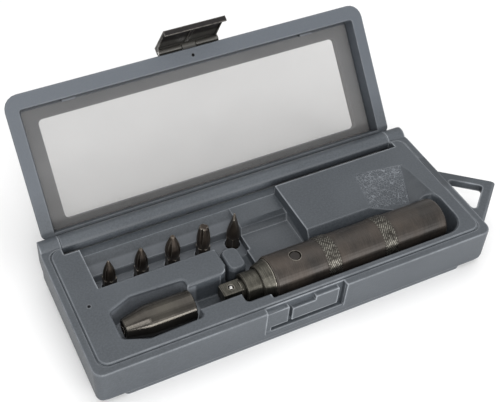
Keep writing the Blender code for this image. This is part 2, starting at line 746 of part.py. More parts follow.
def gap_well():
    """The gap between the platform's end and the saddle, as deep as the bits' trough."""
    high_x = MIDDLE_WELL_START_X - WELL_ROUND - FIT
    corners = rectangle(PLATFORM_END_X, high_x, DRIVER_Y, BITS_Y)
    return well("gap_well", corners, WELL_ROUND * 2, flared(BITS_FLOOR_Z + FIT, WELL_ROUND / 2))


def platform_corner(name, x, y, way, radius, low_z):
    """A cutter that rounds an upright corner of the platform, whose solid lies to the left of it.

    The way is 1 where the platform lies behind the corner and -1 where it lies in front of it.
    """
    outline = [(x + OVERRUN, y - way * OVERRUN), (x + OVERRUN, y + way * radius)]
    for k in range(CORNER_STEPS + 1):
        angle = math.radians(90) * k / CORNER_STEPS
        outline.append((x - radius * (1 - math.cos(angle)), y + way * radius * (1 - math.sin(angle))))
    outline.append((x - radius, y - way * OVERRUN))
    return plate(name, outline, low_z, LAND_Z + OVERRUN)


def platform_corners():
    """The rounded corners at the platform's right end, beside the nose and beside the bits."""
    nose_x = DRIVER_REAR_X - NOSE_FRONT - NOSE_WELL_ROOM - FIT
    neck_y = DRIVER_Y + SQUARE_SIDE / 2 + NECK_WELL_ROOM + FIT
    neck_z = DRIVER_Z - SQUARE_SIDE / 2 - NECK_WELL_FLOOR_ROOM + FIT
    return (
        platform_corner("platform_front_corner", nose_x, neck_y, 1, PLATFORM_FRONT_CORNER, neck_z),
        platform_corner("platform_back_corner", PLATFORM_END_X, BITS_FRONT_Y, -1, PLATFORM_BACK_CORNER,
                        BITS_FLOOR_Z + FIT * 3),
    )


def saddle():
    """The lobe beside the driver's nose."""
    low_x = PLATFORM_END_X + SADDLE_GAP
    low_y = DRIVER_Y + SADDLE_FROM_AXIS
    corners = rectangle(low_x, low_x + SADDLE_LENGTH, low_y, low_y + SADDLE_WIDTH)
    top_z = LEDGE_Z - SADDLE_BELOW_LEDGE
    rings = [
        at_height(rounded(corners, SADDLE_CORNER), BITS_FLOOR_Z - FIT * 2),
        at_height(rounded(corners, SADDLE_CORNER), top_z - WELL_ROUND * 2),
        at_height(rounded(shrunk(corners, WELL_ROUND / 2), SADDLE_CORNER), top_z - WELL_ROUND / 2),
        at_height(rounded(shrunk(corners, WELL_ROUND), SADDLE_CORNER - WELL_ROUND / 2), top_z),
    ]
    return lofted("saddle", rings)


def finger_scoop():
    """A scoop for the fingers: it starts level with the land and is deepest beside the driver's rear end."""
    front_y = DRIVER_Y + BODY_RADIUS / 2
    rim = [
        (DRIVER_REAR_X - SCOOP_FRONT_START, front_y),
        (DRIVER_REAR_X + SCOOP_END, front_y),
        (DRIVER_REAR_X + SCOOP_END, DRIVER_Y + SCOOP_BACK_END),
        (DRIVER_REAR_X - SCOOP_BACK_START, DRIVER_Y + SCOOP_BACK),
    ]
    points = at_height(rim, LAND_Z) + at_height(rim, LAND_Z + OVERRUN)
    points.append((DRIVER_REAR_X - SCOOP_VALLEY, front_y, LAND_Z - SCOOP_DEPTH))
    return hull("finger_scoop", points)


def handle_loop():
    """The flat triangular loop moulded onto the right end."""
    tip = Vector((RIGHT + HANDLE_REACH, FRONT + HANDLE_TIP))
    roots = [Vector((RIGHT, FRONT + along)) for along in (HANDLE_FRONT_ROOT, HANDLE_BACK_ROOT)]
    front_root, back_root = (root + (root - tip) * CASE_CORNER / HANDLE_REACH for root in roots)
    outer = [tuple(front_root), tuple(tip), tuple(back_root)]
    high_z = LEDGE_Z - HANDLE_BELOW_LEDGE
    low_z = high_z - HANDLE_THICKNESS

    def ring(inset, z):
        return at_height(rounded(shrunk(outer, inset), HANDLE_CORNER), z)

    loop = lofted("handle_loop", [
        ring(HANDLE_EDGE, low_z),
        ring(0, low_z + HANDLE_EDGE),
        ring(0, high_z - HANDLE_EDGE),
        ring(HANDLE_EDGE, high_z),
    ])
    inner = rounded(shrunk(outer, HANDLE_ARM), HANDLE_CORNER)
    hole = lofted("handle_hole", [at_height(inner, low_z - OVERRUN), at_height(inner, high_z + OVERRUN)])
    cut(loop, hole)
    return loop


def knuckle_profile():
    """The knuckle seen from the end: a round boss over a gusset, with a face where the open lid rests."""
    hinge = Vector((HINGE_Y, HINGE_Z))
    lean = LID_OPEN_ANGLE - math.radians(90)
    along = Vector((math.cos(lean), -math.sin(lean)))
    away = Vector((math.sin(lean), math.cos(lean))) * (HINGE_Y - LID_BACK - FIT)
    leaves = math.sqrt(HINGE_RADIUS ** 2 - away.length ** 2)
    near = away + along * leaves
    low = math.atan2(near.y, near.x)
    points = []
    for k in range(PIN_STEPS + 1):
        angle = math.pi + (low - math.pi) * k / PIN_STEPS
        points.append(tuple(hinge + Vector((math.cos(angle), math.sin(angle))) * HINGE_RADIUS))
    points.append(tuple(hinge + away + along * (leaves + GUSSET_REACH)))
    points.append((BACK - CASE_DRAFT, HINGE_Z - GUSSET_DEPTH))
    points.append((HINGE_Y - HINGE_RADIUS, HINGE_Z - GUSSET_DEPTH))
    return points


def across_front(name, outline, front_y, back_y):
    """A plate whose outline holds (x, z) pairs, drawn out from front to back."""
    made = plate(name, outline, -back_y, -front_y)
    made.data.transform(Matrix.Rotation(math.radians(90), 4, "X"))
    return made


def catch_bar():
    """The two-level bar in the catch pocket that the latch's lip goes under."""
    step_x = CATCH_BAR_LEFT + (CATCH_BAR_RIGHT - CATCH_BAR_LEFT) * CATCH_BAR_STEP_SHARE
    bottom_z = LEDGE_Z - CATCH_BAR_BOTTOM + FIT / 2
    low_top, high_top = LEDGE_Z - CATCH_LOW_TOP, LEDGE_Z - CATCH_HIGH_TOP
    outline = [
        (CATCH_BAR_LEFT, bottom_z),
        (CATCH_BAR_RIGHT, bottom_z),
        (CATCH_BAR_RIGHT, high_top),
        (step_x, high_top),
        (step_x, low_top),
        (CATCH_BAR_LEFT, low_top),
    ]
    return across_front("catch_bar", outline, FRONT + BAY_DEPTH, FRONT + CATCH_POCKET_DEPTH + OVERRUN)


def catch_bay():
    """The shallow bay in the front wall, and the pocket behind the bar with a slot under it for the lip."""
    half = LATCH_WIDTH / 2 + BAY_SIDE_ROOM
    slot_x = CATCH_BAR_LEFT - CATCH_SLOT
    lip_x = -LATCH_WIDTH / 2 - FIT * 4
    lip_top, lip_low = LEDGE_Z - CATCH_BAR_BOTTOM, LEDGE_Z - CATCH_POCKET_HEIGHT
    sides = [
        (FRONT - OVERRUN, LEDGE_Z + OVERRUN),
        (FRONT + BAY_DEPTH, LEDGE_Z + OVERRUN),
        (FRONT + BAY_DEPTH, lip_low + WELL_ROUND / 2),
        (FRONT - OVERRUN, LEDGE_Z - BAY_HEIGHT),
    ]
    bay = plate("catch_bay", sides, -half, half, axis="X")
    outline = [
        (-half + FIT, LEDGE_Z + OVERRUN * 2),
        (-half + FIT, LEDGE_Z - CATCH_LEFT_TOP),
        (slot_x, LEDGE_Z - CATCH_LEFT_TOP),
        (slot_x, lip_top),
        (lip_x, lip_top),
        (lip_x, lip_low),
        (half - FIT, lip_low),
        (half - FIT, LEDGE_Z + OVERRUN * 2),
    ]
    return bay, across_front("catch_pocket", outline, FRONT - OVERRUN, FRONT + CATCH_POCKET_DEPTH)


def case_base():
    base = base_block()
    join(base, handle_loop())
    low_x, high_x = BARREL_LEFT - FIT * 2, BARREL_RIGHT + FIT * 2
    barrel_room = rod(
        "barrel_room",
        HINGE_RADIUS + HINGE_ROOM,
        (low_x, HINGE_Y, HINGE_Z),
        (high_x, HINGE_Y, HINGE_Z),
        SMALL_STEPS,
    )
    back_room = box(
        "barrel_back_room",
        (low_x - FIT, CHANNEL_Y, CHANNEL_Z),
        (high_x + FIT, HINGE_Y + OVERRUN, LAND_Z + OVERRUN),
    )
    cut(base, barrel_room, back_room)
    for side, low_x in (("left", LEFT + KNUCKLE_INSET), ("right", RIGHT - KNUCKLE_INSET - KNUCKLE_LENGTH)):
        knuckle = plate(f"knuckle_{side}", knuckle_profile(), low_x, low_x + KNUCKLE_LENGTH, axis="X")
        join(base, knuckle)
    for side, face_x, way in (("left", BARREL_LEFT - FIT, -1), ("right", BARREL_RIGHT + FIT, 1)):
        bore = rod(
            f"knuckle_bore_{side}",
            HINGE_PIN_RADIUS + FIT,
            (face_x - way * OVERRUN, HINGE_Y, HINGE_Z),
            (face_x + way * (HINGE_PIN_IN_KNUCKLE + FIT), HINGE_Y, HINGE_Z),
            PIN_STEPS,
        )
        cut(base, bore)
    cut(base, driver_well(), nose_well(), holder_well(), neck_well())
    cut(base, bits_well(), middle_well(), gap_well(), finger_scoop(), *platform_corners())
    for number in range(BITS_COUNT):
        x = FIRST_BIT_X + BIT_PITCH * number
        pocket = rod(
            f"bit_pocket_{number + 1}",
            HEX_RADIUS + BIT_POCKET_ROOM,
            (x, BITS_Y, BITS_FLOOR_Z - BIT_POCKET_DEPTH),
            (x, BITS_Y, BITS_FLOOR_Z + OVERRUN),
            PIN_STEPS,
        )
        cut(base, pocket)
    join(base, saddle())
    cut(base, *catch_bay())
    join(base, catch_bar())
    hole_x, hole_y = LEFT + NEEDLE_HOLE_FROM_LEFT, FRONT + NEEDLE_HOLE_FROM_FRONT
    hole = rod(
        "needle_hole",
        NEEDLE_HOLE_RADIUS,
        (hole_x, hole_y, LAND_Z - NEEDLE_HOLE_DEPTH),
        (hole_x, hole_y, LAND_Z + OVERRUN),
        PIN_STEPS,
    )
    cut(base, hole)
    smooth(base)
    return base


def hinge_pins():
    for side, face_x, way in (("left", BARREL_LEFT - FIT, -1), ("right", BARREL_RIGHT + FIT, 1)):
        inner = face_x - way * (HINGE_PIN_LENGTH - HINGE_PIN_IN_KNUCKLE)
        pin = rod(
            f"hinge_pin_{side}",
            HINGE_PIN_RADIUS,
            (inner, 0, 0),
            (face_x + way * HINGE_PIN_IN_KNUCKLE, 0, 0),
            PIN_STEPS,
            BRIGHT_STEEL,
            at=(0, HINGE_Y, HINGE_Z),
        )
        smooth(pin)


def hinge_empty():
    """The lid's joint: its pieces hang from this and are drawn as they lie when closed."""
    joint = bpy.data.objects.new("lid_hinge", None)
    joint.location = (0, HINGE_Y, HINGE_Z)
    joint.rotation_euler = (-LID_OPEN_ANGLE, 0, 0)
    PARTS.objects.link(joint)
    return joint


def from_hinge(point):
    """A place in the closed lid, as seen from the hinge."""
    x, y, z = point
    return (x, y - HINGE_Y, z - HINGE_Z)


def lid_shell(joint):
    """The lid's outer shape, rim down, with rounded corners and a rounded top."""
    corners = rectangle(LID_LEFT, LID_RIGHT, LID_FRONT, LID_BACK)
    radii = [LID_CORNER, LID_CORNER, LID_HINGE_CORNER, LID_HINGE_CORNER]
    levels = [
        (LID_RIM_Z, WELL_ROUND / 3),
        (LID_RIM_Z + WELL_ROUND / 2, 0),
        (LID_TOP_Z - LID_TOP_ROUND, LID_DRAFT),
        (LID_TOP_Z - LID_TOP_ROUND / 4, LID_DRAFT + LID_TOP_ROUND / 3),
        (LID_TOP_Z, LID_DRAFT + LID_TOP_ROUND),
    ]
    rings = []
    for z, inset in levels:
        outline = rounded(shrunk(corners, inset), radii)
        rings.append([from_hinge((x, y, z)) for x, y in outline])
    return lofted("case_lid", rings, CASE_PLASTIC, parent=joint)


def lid_cutter(name, corners, radius, low_z, high_z, low_out, joint):
    """A cutter through the lid. Its lower end is wider by the given amount."""
    rings = [
        [from_hinge((x, y, low_z)) for x, y in rounded(shrunk(corners, -low_out), radius)],
        [from_hinge((x, y, high_z)) for x, y in rounded(corners, radius)],
    ]
    return lofted(name, rings, parent=joint)


def hinge_spine(joint):
    """The thick edge that carries the barrel, seen from the end and drawn out between the knuckles."""
    profile = [
        (LID_BACK - LID_DRAFT - WELL_ROUND, LID_RIM_Z),
        (LID_BACK + SPINE_THICKNESS, LID_RIM_Z),
        (LID_BACK + SPINE_THICKNESS, LID_RIM_Z + SPINE_HEIGHT / 2),
        (LID_BACK - LID_DRAFT, LID_RIM_Z + SPINE_HEIGHT),
        (LID_BACK - LID_DRAFT - WELL_ROUND, LID_RIM_Z + SPINE_HEIGHT),
    ]
    profile = [(y - HINGE_Y, z - HINGE_Z) for y, z in profile]
    return plate("hinge_spine", profile, BARREL_LEFT, BARREL_RIGHT, parent=joint, axis="X")


def sheet_tabs(joint):
    """Small tabs under the window sheet that hold it in the lid."""
    made = []
    low_z = RECESS_TOP_Z - FIT * 2 - SHEET_THICKNESS - TAB_THICKNESS
    inner = RECESS_RIGHT - RECESS_LEFT
    for end, share in (("left", TAB_END_SHARE), ("right", 1 - TAB_END_SHARE)):
        x = RECESS_LEFT + inner * share
        for edge, low_y, high_y in (
            ("front", RECESS_FRONT - TAB_REACH / 2, RECESS_FRONT + TAB_REACH),
            ("back", RECESS_BACK - TAB_REACH, RECESS_BACK + TAB_REACH / 2),
        ):
            made.append(box(
                f"sheet_tab_{edge}_{end}",
                from_hinge((x - TAB_LENGTH / 2, low_y, low_z)),
                from_hinge((x + TAB_LENGTH / 2, high_y, low_z + TAB_THICKNESS)),
                parent=joint,
            ))
    return made


def latch_lug(joint):
    """The lug on the lid's front that carries the latch pin, between the latch's ears."""
    half = LATCH_WIDTH / 2 - LATCH_EAR_WIDTH - LATCH_LUG_GAP
    y, z = LATCH_Y - HINGE_Y, LATCH_Z - HINGE_Z
    boss = [
        (y + LATCH_EAR_RADIUS * math.cos(angle), z + LATCH_EAR_RADIUS * math.sin(angle))
        for angle in (math.radians(90) + math.radians(180) * k / PIN_STEPS for k in range(PIN_STEPS + 1))
    ]
    wall_y = LID_FRONT + LID_DRAFT + WELL_ROUND - HINGE_Y
    boss += [(wall_y, z - LATCH_EAR_RADIUS), (wall_y, z + LATCH_EAR_RADIUS)]
    return plate("latch_lug", boss, -half, half, parent=joint, axis="X")


def case_lid(joint):
    lid = lid_shell(joint)
    recess = rectangle(RECESS_LEFT, RECESS_RIGHT, RECESS_FRONT, RECESS_BACK)
    window = rectangle(
        RECESS_LEFT + WINDOW_SIDE_FRAME,
        RECESS_RIGHT - WINDOW_SIDE_FRAME,
        RECESS_FRONT + WINDOW_FRONT_FRAME,
        RECESS_BACK - WINDOW_BACK_FRAME,
    )
    cut(
        lid,
        lid_cutter("lid_recess", shrunk(recess, LID_RECESS_DRAFT), LID_RECESS_CORNER,
                   LID_RIM_Z - OVERRUN, RECESS_TOP_Z, LID_RECESS_DRAFT, joint),
        lid_cutter("window_opening", window, WINDOW_CORNER,
                   RECESS_TOP_Z - OVERRUN, LID_TOP_Z + OVERRUN, 0, joint),
    )
    barrel = rod("hinge_barrel", HINGE_RADIUS, (BARREL_LEFT, 0, 0), (BARREL_RIGHT, 0, 0), SMALL_STEPS, parent=joint)
    join(lid, hinge_spine(joint), barrel, *sheet_tabs(joint), latch_lug(joint))
    for side, face_x, way in (("left", BARREL_LEFT, 1), ("right", BARREL_RIGHT, -1)):
        deep = HINGE_PIN_LENGTH - HINGE_PIN_IN_KNUCKLE + FIT
        cut(lid, rod(f"barrel_bore_{side}", HINGE_PIN_RADIUS + FIT, (face_x - way * OVERRUN, 0, 0),
                     (face_x + way * deep, 0, 0), PIN_STEPS, parent=joint))
    half = LATCH_WIDTH / 2
    cut(lid, rod("latch_lug_bore", LATCH_PIN_RADIUS + FIT, from_hinge((-half, LATCH_Y, LATCH_Z)),
                 from_hinge((half, LATCH_Y, LATCH_Z)), PIN_STEPS, parent=joint))
    hole = from_hinge((0, LID_FRONT + LID_HOLE_FROM_EDGE, LID_RIM_Z - OVERRUN))
    hole_end = from_hinge((0, LID_FRONT + LID_HOLE_FROM_EDGE, LID_RIM_Z + NEEDLE_HOLE_DEPTH))
    cut(lid, rod("lid_needle_hole", LID_HOLE_RADIUS, hole, hole_end, PIN_STEPS, parent=joint))
    smooth(lid)
    return lid


def window_sheet(joint):
    room = SHEET_ROOM + LID_RECESS_DRAFT
    corners = rectangle(RECESS_LEFT + room, RECESS_RIGHT - room, RECESS_FRONT + room, RECESS_BACK - room)
    high_z = RECESS_TOP_Z - FIT
    rings = [
        [from_hinge((x, y, z)) for x, y in rounded(corners, LID_RECESS_CORNER)]
        for z in (high_z - SHEET_THICKNESS, high_z)
    ]
    return lofted("window_sheet", rings, WINDOW_CLEAR, parent=joint)


def latch(joint):
    """The sheet-metal latch, drawn shut about its pin and swung out by its resting angle."""
    pivot = bpy.data.objects.new("latch_pivot", None)
    pivot.parent = joint
    pivot.location = from_hinge((0, LATCH_Y, LATCH_Z))
    pivot.rotation_euler = (-LATCH_OPEN_ANGLE, 0, 0)
    PARTS.objects.link(pivot)
    half = LATCH_WIDTH / 2
    outer_y = -LATCH_STEP - LATCH_SHEET
    end_z = -LATCH_DROP
    profile = [
        (0, LATCH_TOP),
        (outer_y, LATCH_TOP),
        (outer_y, end_z),
        (-LATCH_STEP + LATCH_LIP, end_z),
        (-LATCH_STEP + LATCH_LIP, end_z + LATCH_SHEET),
        (-LATCH_STEP, end_z + LATCH_SHEET),
        (-LATCH_STEP, LATCH_TOP - LATCH_SHEET),
        (0, LATCH_TOP - LATCH_SHEET),
    ]
    clip = plate("latch_clip", profile, -half, half, LATCH_METAL, parent=pivot, axis="X")
    cheek_drop = -LATCH_DROP * LATCH_CHEEK_SHARE
    cheek = [
        (outer_y + FIT, LATCH_TOP - FIT),
        (outer_y + FIT, cheek_drop - LATCH_CHEEK_DEPTH),
        (-LATCH_STEP, cheek_drop - LATCH_CHEEK_DEPTH),
        (-LATCH_STEP + LATCH_CHEEK_DEPTH, -LATCH_EAR_RADIUS),
        (0, -LATCH_EAR_RADIUS),
        (0, LATCH_TOP - FIT),
    ]
    for side, way in (("left", -1), ("right", 1)):
        near, far = sorted((way * (half - FIT), way * (half - LATCH_SHEET)))
        join(clip, plate(f"latch_cheek_{side}", cheek, near, far, parent=pivot, axis="X"))
        ear_ends = (way * (half - FIT / 2), 0, 0), (way * (half - LATCH_EAR_WIDTH), 0, 0)
        join(clip, rod(f"latch_ear_{side}", LATCH_EAR_RADIUS, *sorted(ear_ends), PIN_STEPS, parent=pivot))
    room = LATCH_EAR_RADIUS + FIT
    inner = half - LATCH_EAR_WIDTH
    cut(clip, box("latch_lug_room", (-inner, -room, -room), (inner, room, room), parent=pivot))
    rib = box(
        "latch_rib",
        (-LATCH_RIB_WIDTH / 2, -LATCH_STEP - LATCH_SHEET / 2, end_z + LATCH_SHEET / 2),
        (LATCH_RIB_WIDTH / 2, -LATCH_STEP + LATCH_RIB_RISE, LATCH_TOP - LATCH_SHEET / 2),
        parent=pivot,
    )
    join(clip, rib)
    cut(clip, rod("latch_ear_bore", LATCH_PIN_RADIUS + FIT, (-half - OVERRUN, 0, 0),
                  (half + OVERRUN, 0, 0), PIN_STEPS, parent=pivot))
    pin = rod("latch_pin", LATCH_PIN_RADIUS, (-half + FIT, 0, 0), (half - FIT, 0, 0), PIN_STEPS,
              BRIGHT_STEEL, at=pivot.location, parent=joint)
    smooth(clip)
    smooth(pin)
    return clip


def driver_at(distance, y=0.0, z=0.0):
    """A place in the driver's own frame: the distance is measured forward from the striking face."""
    return (-distance, y, z)


DRIVER_ORIGIN = (DRIVER_REAR_X, DRIVER_Y, DRIVER_Z)


def turned_along(profile):
    """A profile written forward from the striking face, as places along X."""
    return [(-distance, radius) for distance, radius in profile]


def knurl_band(start):
    """Profile points of one raised band."""
    raised = BODY_RADIUS + KNURL_RISE
    end = start + KNURL_WIDTH
    return [
        (start, BODY_RADIUS),
        (start + KNURL_RISE, raised),
        (end - KNURL_RISE, raised),
        (end, BODY_RADIUS),
    ]


def driver_body():
    """The heavy sleeve: solid at the striking end, bored for the spindle, with two gripping bands."""
    shank_room = BUSHING_SHANK_RADIUS + FIT
    shank_floor = BODY_LENGTH - BUSHING_SHANK_LENGTH - FIT
    profile = [
        (0, 0),
        (0, BODY_RADIUS - STRIKE_CHAMFER),
        (STRIKE_CHAMFER / 4, BODY_RADIUS - STRIKE_CHAMFER / 3),
        (STRIKE_CHAMFER, BODY_RADIUS),
        *knurl_band(REAR_KNURL_START),
        *knurl_band(FRONT_KNURL_START),
        (BODY_LENGTH - BODY_FRONT_CHAMFER, BODY_RADIUS),
        (BODY_LENGTH, BODY_RADIUS - BODY_FRONT_CHAMFER / 2),
        (BODY_LENGTH, shank_room),
        (shank_floor, shank_room),
        (shank_floor, BORE_RADIUS),
        (STRIKE_SOLID, BORE_RADIUS),
        (STRIKE_SOLID, 0),
    ]
    body = turned("driver_body", turned_along(profile), DRIVER_STEPS, DARK_STEEL, at=DRIVER_ORIGIN)
    for name, way in (("upper", 1), ("lower", -1)):
        hole = rod(
            f"cam_pin_hole_{name}",
            CAM_PIN_RADIUS + FIT,
            driver_at(CAM_PIN_AT, z=way * STEM_RADIUS),
            driver_at(CAM_PIN_AT, z=way * (BODY_RADIUS + OVERRUN)),
            SMALL_STEPS,
            at=DRIVER_ORIGIN,
        )
        cut(body, hole)
    return body


def cam_pins():
    """Two pins through the body's wall, whose inner ends ride in the spindle's slots."""
    outer = BODY_RADIUS - CAM_PIN_SUNK - CAM_PIN_RADIUS ** 2 / (2 * BODY_RADIUS)
    inner = outer - CAM_PIN_REACH
    for name, way in (("upper", 1), ("lower", -1)):
        profile = [
            (way * inner, 0),
            (way * inner, CAM_PIN_RADIUS),
            (way * (outer - CAM_PIN_CHAMFER), CAM_PIN_RADIUS),
            (way * outer, CAM_PIN_RADIUS - CAM_PIN_CHAMFER),
            (way * outer, 0),
        ]
        turned(
            f"cam_pin_{name}",
            profile,
            SMALL_STEPS,
            DARK_STEEL,
            at=(DRIVER_REAR_X - CAM_PIN_AT, DRIVER_Y, DRIVER_Z),
            axis="Z",
        )
    return inner


def front_bushing():
    """The screwed-in bushing that the spindle slides and turns in, with its seal's groove."""
    bore = SPINDLE_RADIUS + FIT
    head = BODY_LENGTH + FIT
    front = head + BUSHING_HEAD_LENGTH
    groove = head + SEAL_FROM_HEAD
    groove_half = SEAL_SECTION_RADIUS + FIT / 2
    groove_radius = bore + 2 * SEAL_SECTION_RADIUS
    profile = [
        (BODY_LENGTH - BUSHING_SHANK_LENGTH, bore),
        (BODY_LENGTH - BUSHING_SHANK_LENGTH, BUSHING_SHANK_RADIUS),
        (head, BUSHING_SHANK_RADIUS),
        (head, BUSHING_HEAD_REAR_RADIUS),
        (front - BUSHING_EDGE, BUSHING_HEAD_FRONT_RADIUS),
        (front, BUSHING_HEAD_FRONT_RADIUS - BUSHING_EDGE),
        (front, bore),
        (groove + groove_half, bore),
        (groove + groove_half, groove_radius),
        (groove - groove_half, groove_radius),
        (groove - groove_half, bore),
    ]
    turned("front_bushing", turned_along(profile), DRIVER_STEPS, DARK_STEEL, at=DRIVER_ORIGIN)
    middle_radius = SPINDLE_RADIUS + FIT / 2 + SEAL_SECTION_RADIUS
    ring = [
        (
            groove + SEAL_SECTION_RADIUS * math.cos(math.radians(360) * k / PIN_STEPS),
            middle_radius + SEAL_SECTION_RADIUS * math.sin(math.radians(360) * k / PIN_STEPS),
        )
        for k in range(0, PIN_STEPS, 2)
    ]
    turned("nose_seal", turned_along(ring), DRIVER_STEPS, SEAL_RUBBER, at=DRIVER_ORIGIN)


def cam_slot_cutters(pin_inner):
    """The V-shaped slots: the pin's own shape, grown by its clearance and moved along both helices."""

    def pin_points(travel, turn, room):
        spin = Matrix.Rotation(turn, 4, "X")
        radius = CAM_PIN_RADIUS + room
        points = []
        for k in range(SMALL_STEPS):
            angle = math.radians(360) * k / SMALL_STEPS
            for reach in (pin_inner - room, SPINDLE_RADIUS + OVERRUN):
                x = -(CAM_PIN_AT + travel) + radius * math.cos(angle)
                points.append(spin @ Vector((x, radius * math.sin(angle), reach)))
        return points

    cutters = []
    for side, start in (("upper", 0), ("lower", math.pi)):
        for branch, way, room in (("tighten", 1, FIT), ("loosen", -1, FIT + FIT / 6)):
            points = pin_points(0, start, room)
            points += pin_points(PLUNGE, start + way * PLUNGE_TURN, room)
            cutters.append(hull(f"cam_slot_{side}_{branch}", points, at=DRIVER_ORIGIN))
    return cutters


def spindle(pin_inner):
    """The spindle: stem, cam slots, nose and square drive with its detent hole."""
    profile = [
        (SPINDLE_SHOULDER - STEM_LENGTH, 0),
        (SPINDLE_SHOULDER - STEM_LENGTH, STEM_RADIUS - NOSE_CHAMFER),
        (SPINDLE_SHOULDER - STEM_LENGTH + NOSE_CHAMFER, STEM_RADIUS),
        (SPINDLE_SHOULDER, STEM_RADIUS),
        (SPINDLE_SHOULDER, SPINDLE_RADIUS),
        (NOSE_FRONT - NOSE_CHAMFER, SPINDLE_RADIUS),
        (NOSE_FRONT, SPINDLE_RADIUS - NOSE_CHAMFER),
        (NOSE_FRONT, NECK_RADIUS),
        (NOSE_FRONT + NECK_LENGTH, NECK_RADIUS),
        (NOSE_FRONT + NECK_LENGTH, 0),
    ]
    made = turned("spindle", turned_along(profile), DRIVER_STEPS, DARK_STEEL, at=DRIVER_ORIGIN)
    half = SQUARE_SIDE / 2

    def ring(distance, inset):
        outline = rounded(shrunk(rectangle(-half, half, -half, half), inset), SQUARE_EDGE, 2)
        return [driver_at(distance, y, z) for y, z in outline]

    start = NOSE_FRONT + NECK_LENGTH
    square = lofted(
        "square_drive",
        [
            ring(start - NECK_LENGTH / 2, 0),
            ring(DRIVER_LENGTH - SQUARE_CHAMFER, 0),
            ring(DRIVER_LENGTH, SQUARE_CHAMFER / 2),
        ],
        at=DRIVER_ORIGIN,
    )
    join(made, square)
    cut(made, *cam_slot_cutters(pin_inner))
    ball_at = DRIVER_LENGTH - BALL_FROM_TIP
    hole = rod(
        "detent_hole",
        BALL_RADIUS + FIT,
        driver_at(ball_at, z=half - BALL_HOLE_DEPTH),
        driver_at(ball_at, z=half + OVERRUN),
        PIN_STEPS,
        at=DRIVER_ORIGIN,
    )
    cut(made, hole)
    return made


def coil(name, middle_radius, wire_radius, length, turns, turn_points, finish, at, axis):
    """A helical spring drawn from its start along an axis, as one bevelled curve."""
    curve = bpy.data.curves.new(name, "CURVE")
    curve.dimensions = "3D"
    curve.bevel_depth = wire_radius
    curve.bevel_resolution = 1
    curve.use_fill_caps = True
    spline = curve.splines.new("POLY")
    count = int(turns * turn_points)
    spline.points.add(count)
    for k, point in enumerate(spline.points):
        angle = math.radians(360) * k / turn_points
        rise = length * k / count
        across = middle_radius * math.cos(angle), middle_radius * math.sin(angle)
        where = (-rise, *across) if axis == "X" else (*across, rise)
        point.co = (*where, 1)
    made = bpy.data.objects.new(name, curve)
    curve.materials.append(finish)
    made.location = at
    PARTS.objects.link(made)
    return made


def spring_set():
    """The return spring between its seat and the thrust washer, and the detent ball on its own spring."""
    outer = BORE_RADIUS - WASHER_ROOM
    inner = STEM_RADIUS + WASHER_ROOM
    seat = STRIKE_SOLID + FIT
    thrust = SPINDLE_SHOULDER - FIT - WASHER_THICKNESS
    for name, start in (("spring_seat", seat), ("thrust_washer", thrust)):
        end = start + WASHER_THICKNESS
        profile = [(start, inner), (start, outer), (end, outer), (end, inner)]
        turned(name, turned_along(profile), SMALL_STEPS, BRIGHT_STEEL, at=DRIVER_ORIGIN)
    low = seat + WASHER_THICKNESS + FIT + SPRING_WIRE_RADIUS
    high = thrust - FIT - SPRING_WIRE_RADIUS
    coil(
        "main_spring",
        (outer + inner) / 2,
        SPRING_WIRE_RADIUS,
        high - low,
        SPRING_TURNS,
        SPRING_TURN_POINTS,
        BRIGHT_STEEL,
        (DRIVER_REAR_X - low, DRIVER_Y, DRIVER_Z),
        "X",
    )
    half = SQUARE_SIDE / 2
    ball_x = DRIVER_REAR_X - DRIVER_LENGTH + BALL_FROM_TIP
    ball_z = DRIVER_Z + half + BALL_PROUD - BALL_RADIUS
    shape = bmesh.new()
    bmesh.ops.create_uvsphere(shape, u_segments=PIN_STEPS, v_segments=PIN_STEPS // 2, radius=BALL_RADIUS)
    ball = placed("detent_ball", mesh_of("detent_ball", shape), BRIGHT_STEEL, at=(ball_x, DRIVER_Y, ball_z))
    smooth(ball)
    floor_z = DRIVER_Z + half - BALL_HOLE_DEPTH
    low_z = floor_z + FIT + DETENT_WIRE_RADIUS
    high_z = ball_z - BALL_RADIUS - FIT - DETENT_WIRE_RADIUS
    coil(
        "detent_spring",
        BALL_RADIUS - DETENT_WIRE_RADIUS,
        DETENT_WIRE_RADIUS,
        high_z - low_z,
        DETENT_TURNS,
        DETENT_TURN_POINTS,
        BRIGHT_STEEL,
        (ball_x, DRIVER_Y, low_z),
        "Z",
    )


